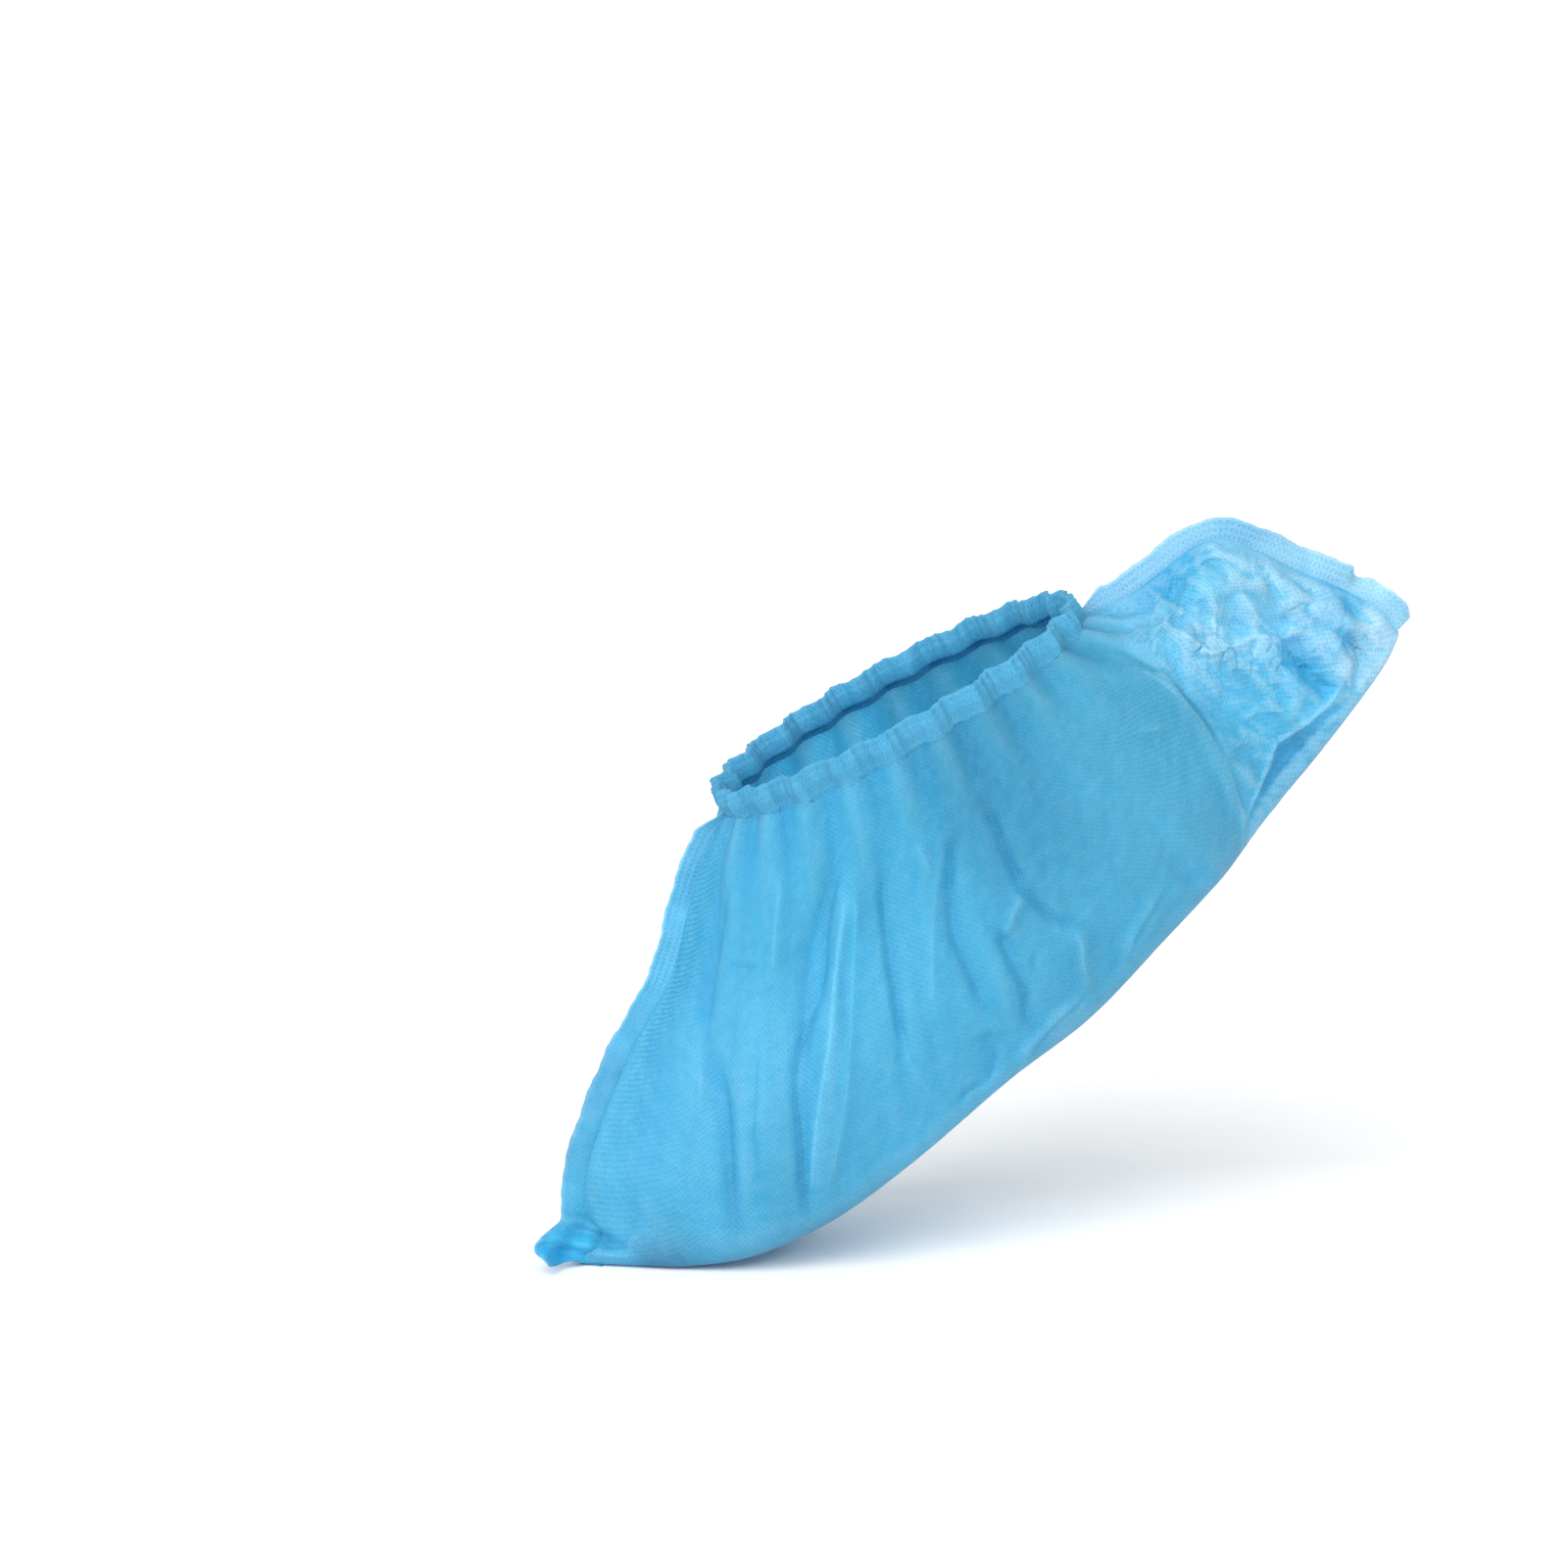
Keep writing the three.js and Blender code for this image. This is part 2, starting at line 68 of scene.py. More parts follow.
SOLE_LINE = (
    (-26, -14, 0), (-10, -6, 0), (8, 0, 0), (31, 0, 4), (58, 0, 14.5), (88, 0, 33.5),
    (126, 0, 61.5), (157.5, 0, 83), (188, 0, 113), (218, 0, 143), (249, 0, 173), (273.5, 0, 203),
    (280, 0, 215),
)
TOE_LINE = (
    (-26, -14, 0), (-23, -9, 15), (-21, -6, 31), (-17, -4, 43), (-9, -2, 62), (0, 0, 80),
    (10.5, 0, 99), (21.5, 0, 136),
)
HEEL_LINE = (
    (280, 0, 215), (273.5, 0, 223), (259, 0, 231), (240, 0, 239), (227, 0, 245.5), (213, 0, 250),
    (202, 0, 247), (190, 0, 238), (176, 0, 229),
)
WIDTHS = columns(
    "along sole side upper bend",
    (0, 0, 0, 0, 0), (18, 18, 12, 6, 7), (40, 33, 29, 17, 9), (70, 40, 42, 26, 9),
    (105, 41, 45, 31, 9), (150, 37, 43, 34, 8), (200, 31, 38, 37, 7), (245, 30, 36, 37, 7),
    (285, 29, 35, 35, 7), (312, 19, 29, 29, 6), (335, 11, 19, 23, 5), (365, 6, 11, 16, 4),
    (390, 3, 5, 7, 2), (402, 0, 0, 0, 0),
)
FOLDS = (
    # x1, z1, x2, z2, bow, width, height
    # Instep.
    (27, 141, 18, 83, 0, 4.5, -3.5), (44, 143, 41, 101, 0, 4.5, 2.5),
    (63, 147, 54, 15, 7, 5, -6), (69, 138, 55, 21, 1, 4.5, 4), (79, 154, 85, 72, -2, 3.5, -3.5),
    (95, 153, 97, 89, 0, 6, 2.5), (105, 156, 117, 92, 5, 5, -4),
    # Toe.
    (21, 79, 27, 14, 0, 5, -3.5), (15, 84, 13, 25, 0, 7, 2.5), (35, 52, 34, 22, 0, 4, -2),
    # Ankle.
    (116, 168, 131, 133, 0, 4, -3.5), (131, 133, 151, 119, 0, 3.5, -2.5),
    (121, 121, 134, 83, -3, 4, -3.5), (118, 83, 120, 66, 2, 6, -3),
    (131, 132, 123, 118, 0, 4, 2.5), (151, 118, 155, 94, 0, 4, 2.5),
    # Edge of the sole.
    (129, 67, 163, 95, -2, 4, 2.5), (170, 103, 189, 133, -1, 5, 2.5),
)
TOE_BAND = columns(
    "up out lean",
    (0, 14, -14), (0.025, 18.5, -11), (0.05, 17, -8), (0.08, 9.5, -2), (0.11, 8.5, 1.5),
    (0.2, 8.3, 3.5), (0.42, 8, 4), (0.52, 8.5, -1.5), (0.75, 8.8, -1), (1, 8.8, 0),
)
HEEL_BAND = columns(
    "up out lean",
    (0, 7, 2), (0.06, 8, -3), (0.13, 8, 2), (0.17, 6, 3), (0.21, 9.5, -3), (0.33, 9, 2),
    (0.5, 9, -2), (0.7, 9, 1.5), (1, 9, 0),
)

# ---- this script's own sizes ----

ALONG = 340  # steps of the sheet's grid from toe to heel
# Steps across each half: half the sole, the bend, the side. The far half has fewer.
NEAR, FAR = (12, 12, 176), (8, 8, 74)
CURVE_STEPS = 80  # straight steps between two points of a curve
FOLD_SHARE = 0.42  # the sheet's broad folds are shallower than the CAD's and have sharper crests
# Shares of the way up over which each fades in above the sole and out below the rim.
FADES = {"folds": (0.1, 0.14), "settling": (0.12, 0.05), "creases": (0.02, 0.08)}
WELD_FADES = {"folds": 24, "creases": 160}  # how sharply each begins beside the welds
FLAT = (0.40, 0.34)  # metres: the sheet as cut, weld to weld and edge to edge


# ---- curves and tables ----


def smooth(t):
    t = np.clip(t, 0, 1)
    return t * t * (3 - 2 * t)


def within(t, rise, fall):
    """1 between 0 and 1, with a smooth rise from 0 and a smooth fall towards 1."""
    return smooth(t / rise) * smooth((1 - t) / fall)


def off_ends(t, rate):
    """1 between 0 and 1, and 0 at both ends. A higher rate makes the ends shorter."""
    return smooth(t * rate) * smooth((1 - t) * rate)


def lookup(keys, values, at):
    """Values at a place between keys, with smooth steps that never overshoot.

    Each value may be an array that goes with at."""
    at = np.asarray(at, float)
    slopes = [(values[i + 1] - values[i]) / (keys[i + 1] - keys[i]) for i in range(len(keys) - 1)]

    def tangent(m, n):
        return np.where(m * n > 0, 2 * m * n / np.where(m * n > 0, m + n, 1), 0)

    found = values[-1] + 0 * at
    for i, here in enumerate(slopes):
        span = keys[i + 1] - keys[i]
        t = (at - keys[i]) / span
        before = slopes[i - 1] if i else here
        after = slopes[i + 1] if i + 1 < len(slopes) else here
        value = (
            values[i] * (1 + 2 * t) * (1 - t) ** 2
            + tangent(before, here) * span * t * (1 - t) ** 2
            + values[i + 1] * t * t * (3 - 2 * t)
            - tangent(here, after) * span * t * t * (1 - t)
        )
        found = np.where((at >= keys[i]) & (at < keys[i + 1]), value, found)
    return found


class Curve:
    """A smooth curve through points, walked by shares of its length."""

    def __init__(self, points):
        p = np.array(points, float)
        p = np.vstack([2 * p[0] - p[1], p, 2 * p[-1] - p[-2]])
        line = []
        for a, b, c, d in zip(p, p[1:], p[2:], p[3:]):
            r, s, u = (np.linalg.norm(n - m) ** 0.5 for m, n in ((a, b), (b, c), (c, d)))
            start = ((b - a) / r - (c - a) / (r + s) + (c - b) / s) * s
            end = ((c - b) / s - (d - b) / (s + u) + (d - c) / u) * s
            square, cube = 3 * c - 3 * b - 2 * start - end, 2 * b - 2 * c + start + end
            t = np.linspace(0, 1, CURVE_STEPS, endpoint=False)[:, None]
            line.append(b + start * t + square * t**2 + cube * t**3)
        self.line = np.vstack([*line, p[-2:-1]])
        walked = np.linalg.norm(np.diff(self.line, axis=0), axis=1).cumsum()
        self.length = walked[-1]
        self.share = np.concatenate([[0], walked / self.length])

    def at(self, share):
        return np.stack([np.interp(share, self.share, axis) for axis in self.line.T], -1)

    def way(self, share):
        step = self.at(np.clip(share + 0.002, 0, 1)) - self.at(np.clip(share - 0.002, 0, 1))
        return step / np.linalg.norm(step, axis=-1, keepdims=True)


# ---- the opening ----

slope = math.radians(OPENING["slope"])
opening_back = np.array([math.cos(slope), 0, math.sin(slope)])
opening_up = np.array([-math.sin(slope), 0, math.cos(slope)])


def rim_point(share, side):
    """Point of the opening's edge, a share of the way from front to back round one half."""
    angle = np.pi * share + 0 * side
    at = -np.cos(angle)[..., None] * OPENING["half_length"] * opening_back
    across = side * np.sin(angle) * OPENING["half_width"]
    return np.stack([at[..., 0] + OPENING["x"], across, at[..., 2] + OPENING["z"]], -1)


def rim_outward(share, side):
    """Outward direction there, in the plane of the opening."""
    angle = np.pi * share + 0 * side
    out = -np.cos(angle)[..., None] * OPENING["half_width"] * opening_back
    out[..., 1] = side * np.sin(angle) * OPENING["half_length"]
    return out / np.linalg.norm(out, axis=-1, keepdims=True)


def gather(share, side):
    """Height of the gathers that the elastic draws up."""
    wander = 0.6 * np.sin(5 * share + side) + 0.4 * np.sin(13 * share)
    wave = np.sin(np.pi * GATHERS["count"] * share + wander)
    return GATHERS["height"] * wave * off_ends(share, 8)


# ---- the sheet's form ----

sole_curve = Curve(SOLE_LINE)
toe_curve = Curve([*TOE_LINE, rim_point(np.array(0.0), -1)])
heel_curve = Curve([*HEEL_LINE, rim_point(np.array(1.0), -1)])


def bow(curve, up):
    """How far a seam bows away from the straight line between its ends."""
    straight = curve.line[0] + (curve.line[-1] - curve.line[0]) * up[..., None]
    return curve.at(up) - straight


def bag(share, row, side):
    """The smooth bag: points of its inner face, with half widths and heights as shares."""
    along = share * WIDTHS["along"][-1]
    width = {name: lookup(WIDTHS["along"], WIDTHS[name], along) for name in WIDTHS}
    sole = sole_curve.at(share)
    sole[..., 2] = np.maximum(sole[..., 2], 0)
    rim = rim_point(share, side)
    height = np.hypot(rim[..., 0] - sole[..., 0], rim[..., 2] - sole[..., 2])

    # How much of the way is upwards. The bend is an even turn from across to up.
    bend = width["bend"] + 0.001
    stops = (0, width["sole"] - bend, width["sole"] + bend, width["sole"] + height)
    walked = 0 * row
    for i in range(3):
        t = (row - RIB_ENDS[i]) / (RIB_ENDS[i + 1] - RIB_ENDS[i])
        walked = np.where(row >= RIB_ENDS[i], stops[i] + (stops[i + 1] - stops[i]) * t, walked)
    past = walked - width["sole"]
    climbed = np.where(abs(past) < bend, (past + bend) ** 2 / (4 * bend), np.maximum(past, 0))
    up = np.minimum(climbed / height, 1)

    profile = [width["sole"], width["side"], width["upper"], abs(rim[..., 1])]
    half = walked - climbed - width["sole"] + lookup((0, SIDE_AT, UPPER_AT, 1), profile, up)
    half = np.maximum(half, 0)
    rim[..., 1] = 0
    point = sole + (rim - sole) * up[..., None]
    point = point + bow(toe_curve, up) * (1 - smooth(share / 0.35))[..., None]
    point = point + bow(heel_curve, up) * smooth((share - 0.62) / 0.38)[..., None]
    point[..., 1] += side * half
    return point, half, up, walked


def fold_height(fold, x, z):
    x1, z1, x2, z2, bowed, width, height = fold
    dx, dz = x2 - x1, z2 - z1
    length = math.hypot(dx, dz)
    t = ((x - x1) * dx + (z - z1) * dz) / length**2
    aside = ((x - x1) * dz - (z - z1) * dx) / length
    across = abs(aside - bowed * np.sin(np.pi * np.clip(t, 0, 1))) / width
    return height * np.exp(-(across**1.5)) * smooth((t + 0.12) / 0.3) * smooth((1.12 - t) / 0.3)


def past_heel(x, z):
    """How far a point lies past the edge of the shoe's heel inside the cover."""
    return np.hypot(x - HEEL_EDGE["x"], z - HEEL_EDGE["z"]) - HEEL_EDGE["radius"]


def near_side(points, side):
    """x and z of each point, or of the near place that a far one repeats, and which are far."""
    far = side > 0
    return points[..., 0] - far * FAR_SIDE["dx"], points[..., 2] - far * FAR_SIDE["dz"], far


def relief(share, side, point, half, up):
    """Height of the sheet over its smooth form, from the CAD's folds and gathers."""
    x, z, far = near_side(point, side)
    height = sum(fold_height(fold, x, z) for fold in FOLDS) * FOLD_SHARE
    height = height * np.where(far, FAR_SIDE["share"], 1)
    # The shoe's heel holds the sheet out to a crisp edge, and it falls away behind.
    beyond = np.maximum(past_heel(x, z), 0)
    behind = smooth((x - HEEL_EDGE["x"] - 20) / 30)
    fall = 1 - np.exp(-beyond / HEEL_EDGE["width"])
    height -= HEEL_EDGE["step"] * 0.7 * fall * smooth((60 - beyond) / 40) * behind
    clear = within(up, *FADES["folds"])
    off_welds = off_ends(share, WELD_FADES["folds"])
    gathered = gather(share, side) * smooth((up - 1 + GATHERS["reach"]) / GATHERS["reach"])
    return np.maximum(height * clear * off_welds + gathered, -0.8 * half)


def normals(points):
    """Outward directions on the grid, whose columns run under the sole from rim to rim."""
    out = np.cross(np.gradient(points, axis=1), np.gradient(points, axis=0))
    return out / np.maximum(np.linalg.norm(out, axis=-1, keepdims=True), 1e-9)


def sheet_grid():
    """The sheet on its grid: points of the CAD's outer face, and what is known of each."""
    near, far = (np.interp(np.arange(sum(half) + 1), np.cumsum([0, *half]), RIB_ENDS) for half in (NEAR, FAR))
    row = np.concatenate([near[:0:-1], far])[None, :]
    middle = near.size - 1
    side = np.sign(np.arange(row.size) - float(middle))[None, :]
    share = np.linspace(0, 1, ALONG + 1)[:, None] + 0 * row
    row, side = row + 0 * share, side + 0 * share
    point, half, up, walked = bag(share, row, side)
    out = normals(point)
    out[:, middle, 1] = 0
    out[:, [0, -1]] = rim_outward(share, side)[:, [0, -1]]
    # The two sides meet at the welds.
    meet = np.stack([0 * share + 1, within(share, 0.01, 0.01), 0 * share + 1], -1)
    points = point + out * (relief(share, side, point, half, up)[..., None] + WALL * meet)
    points[..., 2] = np.maximum(points[..., 2], -WALL)
    return points, {"share": share, "side": side, "up": up, "half": half, "walked": walked}


# ---- meshes ----


def placed(name, data):
    """An object in the scene for a mesh, a light or a camera."""
    obj = bpy.data.objects.new(name, data)
    bpy.context.scene.collection.objects.link(obj)
    return obj


def mesh_object(name, points, faces, uvs=None, material=None):
    """A mesh of points in millimetres and four-sided faces, with a UV for each corner of each face."""
    mesh = bpy.data.meshes.new(name)
    points = np.asarray(points, float).reshape(-1, 3) * MM
    faces = np.asarray(faces, int)
    mesh.from_pydata(points.tolist(), [], faces.tolist())
    if uvs is not None:
        mesh.uv_layers.new(name="fabric").data.foreach_set("uv", np.asarray(uvs, np.float32).ravel())
    mesh.polygons.foreach_set("use_smooth", np.ones(len(mesh.polygons), bool))
    if material:
        mesh.materials.append(material)
    mesh.update()
    return placed(name, mesh)


def grid_faces(index):
    """Four-sided faces between neighbours of a grid of point numbers."""
    corners = (index[:-1, :-1], index[:-1, 1:], index[1:, 1:], index[1:, :-1])
    return np.stack([c.ravel() for c in corners], -1)


def grid_index(shape):
    return np.arange(shape[0] * shape[1]).reshape(shape)


# ---- settling ----

# Grid lines from one point to the next, frames, how far a point may move in
# millimetres, the extra length as a share, and how much less a loose point is held.
SETTLE = {"every": 2, "frames": 24, "cap": 2.5, "slack": 0.022, "freed": 0.93}
LOOSE = {"ankle": 0.4, "instep": 0.12}  # beside 1 in the pocket
ANKLE = {"x": 130, "z": 118, "along": 26, "up": 34}  # middle and reach of its folds


def settled(points, known):
    """The sheet after a cloth simulation that gives it a little too much length.

    It runs on every second grid line. Each point is held near its place and moves
    no further than the cap."""
    every = SETTLE["every"]
    coarse = points[::every, ::every]
    k = {name: value[::every, ::every] for name, value in known.items()}
    obj = mesh_object("settling", coarse, grid_faces(grid_index(coarse.shape[:2])))

    x, z = coarse[..., 0], coarse[..., 2]
    edge = within(k["share"], 0.03, 0.03) * within(k["up"], *FADES["settling"])
    pocket = smooth(past_heel(x, z) / 10) * smooth((x - 150) / 20)
    pocket = pocket * (0.25 + 0.75 * smooth((z - 188) / 26))  # pulled flatter towards the sole
    ankle = ((x - ANKLE["x"]) / ANKLE["along"]) ** 2 + ((z - ANKLE["z"]) / ANKLE["up"]) ** 2
    instep = smooth((x - 20) / 20) * smooth((112 - x) / 30) * smooth((z - 30) / 50)
    loose = pocket + LOOSE["ankle"] * np.exp(-ankle) + LOOSE["instep"] * instep
    loose = np.clip(loose, 0, 1) * edge
    for name, weights in (("hold", 1 - SETTLE["freed"] * loose), ("taut", 1 - loose)):
        group = obj.vertex_groups.new(name=name)
        for number, weight in enumerate(weights.ravel()):
            group.add([number], float(weight), "REPLACE")

    cloth = obj.modifiers.new("cloth", "CLOTH")
    cloth.collision_settings.use_collision = False
    s = cloth.settings
    s.quality = 6
    s.mass = 0.02
    s.tension_stiffness = s.compression_stiffness = 12
    s.shear_stiffness = 6
    s.bending_stiffness = 0.6
    s.air_damping = 2
    s.vertex_group_mass = "hold"
    s.pin_stiffness = 0.6
    # Where nothing holds it taut, the sheet grows. Blender raises a shrink_max that
    # is below shrink_min, so the growth stands in shrink_min.
    s.vertex_group_shrink = "taut"
    s.shrink_min, s.shrink_max = -SETTLE["slack"], 0
    s.effector_weights.gravity = 0
    scene = bpy.context.scene
    cloth.point_cache.frame_start, cloth.point_cache.frame_end = 1, SETTLE["frames"]
    for number in range(1, SETTLE["frames"] + 1):
        scene.frame_set(number)
    posed = obj.evaluated_get(bpy.context.evaluated_depsgraph_get())
    found = np.empty(coarse.size)
    posed.data.vertices.foreach_get("co", found)
    scene.frame_set(1)
    moved = found.reshape(coarse.shape) / MM - coarse
    bpy.data.objects.remove(obj)

    far = np.linalg.norm(moved, axis=-1, keepdims=True)
    moved = moved * np.minimum(1, SETTLE["cap"] / np.maximum(far, 1e-9))
    print(f"settled: moved {far.mean():.2f} mm on average, {far.max():.2f} before the cap")
    return points + finer(finer(moved, 0), 1)


def finer(values, axis):
    """Values with a smooth one between each two along an axis."""
    v = np.moveaxis(values, axis, 0)
    padded = np.concatenate([v[:1], v, v[-1:]])
    between = (9 * (padded[1:-2] + padded[2:-1]) - padded[:-3] - padded[3:]) / 16
    out = np.empty((2 * len(v) - 1, *v.shape[1:]))
    out[::2], out[1::2] = v, between
    return np.moveaxis(out, 0, axis)


# ---- creases ----

# Fine creases: their line in x and z, width, height of a ridge (or depth, below 0)
# and height of a step, which is up to the left when going along the line.
CREASES = (
    # Instep, drawn down from the gathers.
    (((29, 137), (27, 121), (24, 100), (20, 80)), 2.0, -0.7, 0.9),
    (((45, 142), (43, 121), (42, 103)), 1.8, 0.7, 0.6),
    (((28, 106), (35, 107), (41, 109)), 1.4, -0.6, 0),
    (((66, 145), (62, 128), (59, 103), (52, 83), (48, 69), (50, 48), (51, 29), (53, 16)), 2.0, -1.2, 0.5),
    (((67, 134), (63, 105), (60, 85), (56, 64), (54, 41), (53, 23)), 2.0, 1.2, 0),
    (((70, 139), (70, 118), (66, 78), (63, 53), (58, 27)), 2.2, 0.8, 0),
    (((59, 102), (55, 93), (49, 84)), 1.6, 0.7, 0),
    (((80, 142), (81, 124), (83, 104), (85, 90), (88, 80)), 1.4, -1.0, 0.4),
    (((88, 80), (86, 74)), 1.4, 0.6, 0),
    (((91, 153), (95, 146), (97, 139)), 1.6, 0.8, 0),
    (((101, 152), (99, 138), (97, 118), (96, 94)), 2.2, 0.7, 0),
    (((105, 156), (105, 138), (105, 120), (110, 107), (117, 92)), 1.6, -0.9, 0.3),
    # Ankle.
    (((117, 166), (122, 156), (125, 147), (130, 138), (131, 134)), 1.6, -1.0, 0.4),
    (((131, 134), (137, 128), (144, 122), (149, 119)), 1.5, -1.0, 0.6),
    (((131, 134), (127, 127), (124, 120), (121, 119)), 1.5, 0.8, 0.4),
    (((121, 123), (123, 116), (127, 107), (132, 97), (133, 84)), 1.5, -0.9, 0.4),
    (((149, 119), (152, 113), (153, 105), (156, 96)), 1.6, 0.9, 0.5),
    (((149, 119), (153, 123), (156, 128)), 1.5, 0.7, 0),
    (((136, 114), (134, 106), (134, 99)), 1.6, -0.7, 0),
    (((119, 82), (121, 72), (119, 65), (110, 60), (106, 52)), 1.9, -0.9, 0.5),
    (((86, 83), (89, 73), (100, 57)), 2.2, 0.5, 0),
    # Edge of the sole.
    (((131, 67), (134, 74), (143, 84), (152, 92), (155, 96)), 1.6, 1.0, 0.8),
    (((169, 102), (172, 113), (179, 125), (184, 134)), 1.8, 0.8, 0.6),
    # Toe.
    (((24, 74), (25, 58), (26, 34), (27, 15)), 2.4, -1.0, 0.4),
    (((36, 83), (34, 66), (33, 49), (35, 34)), 2.2, -0.7, 0.3),
    (((18, 80), (17, 67), (15, 51)), 2.4, 0.7, 0),
    (((16, 120), (13, 106), (10, 93)), 1.8, -1.0, 0.5),
    (((0, 81), (5, 83), (8, 80)), 2.0, 0.7, 0),
    (((-7, 61), (-3, 67), (1, 74)), 2.0, 0.8, 0),
    (((22, 39), (19, 36), (17, 34)), 1.5, -0.5, 0),
    (((-26, 15), (-22, 11), (-16, 8), (-9, 6)), 2.3, -4.0, 0.8),
    (((-25, 19), (-22, 15), (-21, 10)), 2.0, -2.5, 0),
    (((-26, 3), (-18, 3.5), (-8, 3)), 2.2, 1.8, 0),
    (((-11, 3), (-9, 8), (-6, 11)), 1.6, 1.8, -1.2),
    # Over the back of the shoe.
    (
        ((177, 208), (184, 207), (191, 199), (195, 194), (202, 183), (207, 173), (212, 161),
         (215, 155), (216, 147)), 1.5, 0.9, -0.8,
    ),
    (((169, 188), (179, 189), (188, 190)), 1.6, 0.7, 0),
    (((188, 190), (190, 187), (187, 181)), 1.5, 0.6, 0),
    # Empty pocket: along the facets' edges, then the small ones between.
    (((216, 236), (219, 230), (222, 225), (229, 219), (233, 216)), 1.2, 1.0, 0),
    (((233, 216), (238, 209), (244, 202), (249, 197)), 1.2, -1.0, 0),
    (((229, 214), (231, 207), (237, 201), (243, 196)), 1.2, 0.9, 0),
    (((189, 225), (194, 218), (201, 213), (211, 214), (222, 217), (229, 214)), 1.3, 1.0, 0),
    (((204, 236), (206, 229), (206, 223), (203, 215)), 1.2, 0.9, 0),
    (((259, 219), (253, 211), (250, 208)), 1.2, 1.0, 0),
    (((258, 217), (263, 211), (265, 205), (263, 199)), 1.2, -1.0, 0),
    (((224, 166), (227, 176), (236, 182), (243, 185), (250, 190), (256, 197)), 1.3, 1.1, 0),
    (((223, 246), (222, 240), (226, 234)), 1.1, 0.6, 0.3),
    (((236, 238), (241, 233), (248, 229)), 1.1, -0.7, 0.3),
    (((239, 226), (246, 222), (252, 220)), 1.1, -0.7, 0),
    (((233, 227), (237, 222), (236, 216)), 1.0, 0.6, 0.3),
    (((210, 244), (212, 239), (210, 234)), 1.1, -0.6, 0.3),
    (((208, 208), (218, 206), (229, 205)), 1.2, 0.5, 0.3),
    (((204, 202), (212, 200), (221, 198)), 1.3, 0.4, 0.3),
    (((245, 214), (250, 214), (254, 216)), 1.0, 0.6, 0),
    (((254, 205), (259, 199), (262, 193)), 1.1, 0.7, 0.3),
    (((214, 186), (222, 190), (231, 190), (238, 192)), 1.2, 0.5, 0.3),
    (((190, 232), (195, 230), (197, 226)), 1.0, -0.7, 0),
    (((214, 226), (212, 221), (215, 217)), 1.0, 0.6, 0),
    (((235, 219), (241, 215), (246, 217)), 1.6, 0.8, 0.3),
    (((256, 218), (258, 211), (262, 203)), 1.6, -0.9, 0.3),
    (((260, 226), (261, 221), (258, 218)), 1.5, -1.0, 0),
    (((229, 243), (232, 234), (240, 223)), 1.8, 0.9, 0.3),
    (((210, 238), (216, 234), (222, 232), (228, 227)), 1.8, -0.8, 0.4),
    (((267, 217), (271, 212), (269, 207)), 1.5, 0.8, 0),
    (((204, 235), (209, 221), (206, 215)), 1.6, 0.7, 0.4),
    (((227, 176), (223, 167), (219, 160), (216, 153)), 1.6, 0.9, 0.4),
)
# The empty pocket is crumpled into flat facets. These are their corners.
FACETS = columns(
    "x z height",
    # Along the heel weld.
    (190, 238, 0), (201, 247, 0), (213, 250, 0), (222, 244, 0.5), (231, 238, 1), (247, 233, 1),
    (258, 231, 0), (262, 224, -1.5), (273, 217, 0.5), (280, 214, 0),
    # First row of peaks and hollows.
    (193, 235, -1), (198, 236, -1), (204, 234, 0.8), (211, 230, -0.5), (216, 234, 1.2),
    (223, 234, 0.5), (230, 230, -1.5), (238, 230, 1.5), (249, 226, 3), (255, 224, 2),
    # Second row.
    (190, 228, -0.5), (197, 226, -1.2), (201, 224, -0.5), (206, 223, 1.2), (214, 221, -0.6),
    (222, 225, 1.8), (231, 222, -1), (234, 216, 1.5), (242, 219, 0), (253, 219, 2), (259, 219, 3),
    (267, 216, 0.5),
    # Crest of the long fold that swings across, and the folds that run off it.
    (189, 221, 0), (194, 218, 3.5), (201, 213, 3.5), (211, 214, 3.5), (222, 217, 3.5),
    (229, 214, 3.5), (238, 209, -2), (249, 209, 1), (253, 211, 2.5), (256, 215, -0.5),
    (264, 210, -3),
    # Below the crest.
    (194, 200, 0.5), (203, 200, 1.5), (217, 203, 1.5), (230, 204, 2.5), (237, 201, 3),
    (243, 196, 2), (244, 202, -3), (249, 197, -3), (252, 201, 1), (259, 206, 2.5), (263, 200, -1.5),
    (269, 200, 0.5),
    # The edge along the sole.
    (203, 187, 0), (219, 192, 0.5), (229, 178, 3), (236, 182, 3.5), (243, 185, 3.5),
    (250, 190, 2.5), (256, 197, 1.5), (261, 193, 0), (246, 182, -1.5), (235, 173, -2),
    (226, 168, 1.5), (220, 160, 1.5), (228, 164, -1.5), (216, 150, 0), (277, 209, 0),
)
FACET_SHARE = 1.2
FACET_SMOOTH = 1  # rounds of softening of the facets' edges
# Random facets: turn in degrees, length for their width, width, height, and where they lie in x and z.
CRUMPLES = {
    "pocket": ((-42, 1.8, 6, 0.9, (170, 295), (135, 262)), (-25, 1.7, 3, 0.55, (170, 295), (135, 262))),
    "shoe": ((97, 6, 4, 0.22, (-40, 230), (-10, 215)),),
}
SCATTER = 0.45  # how far a random corner may stray, as a share of its facet
SEED = 5
MARK_REACH = 4  # millimetres from a crease where its mark has faded


def softened(values, rounds):
    """Values evened out with their neighbours on the grid."""
    values = values.copy()
    for _ in range(rounds):
        for axis in (0, 1):
            v = np.moveaxis(values, axis, 0)
            v[1:-1] = (v[:-2] + 2 * v[1:-1] + v[2:]) / 4
    return values


def hollows(points, rounds, flat, deep):
    """How far each point lies below the sheet around it, from -1 on a ridge to 1 in a valley."""
    depth = ((softened(points, rounds) - points) * normals(points)).sum(-1)
    return np.clip((depth + flat) / deep, -1, 1)


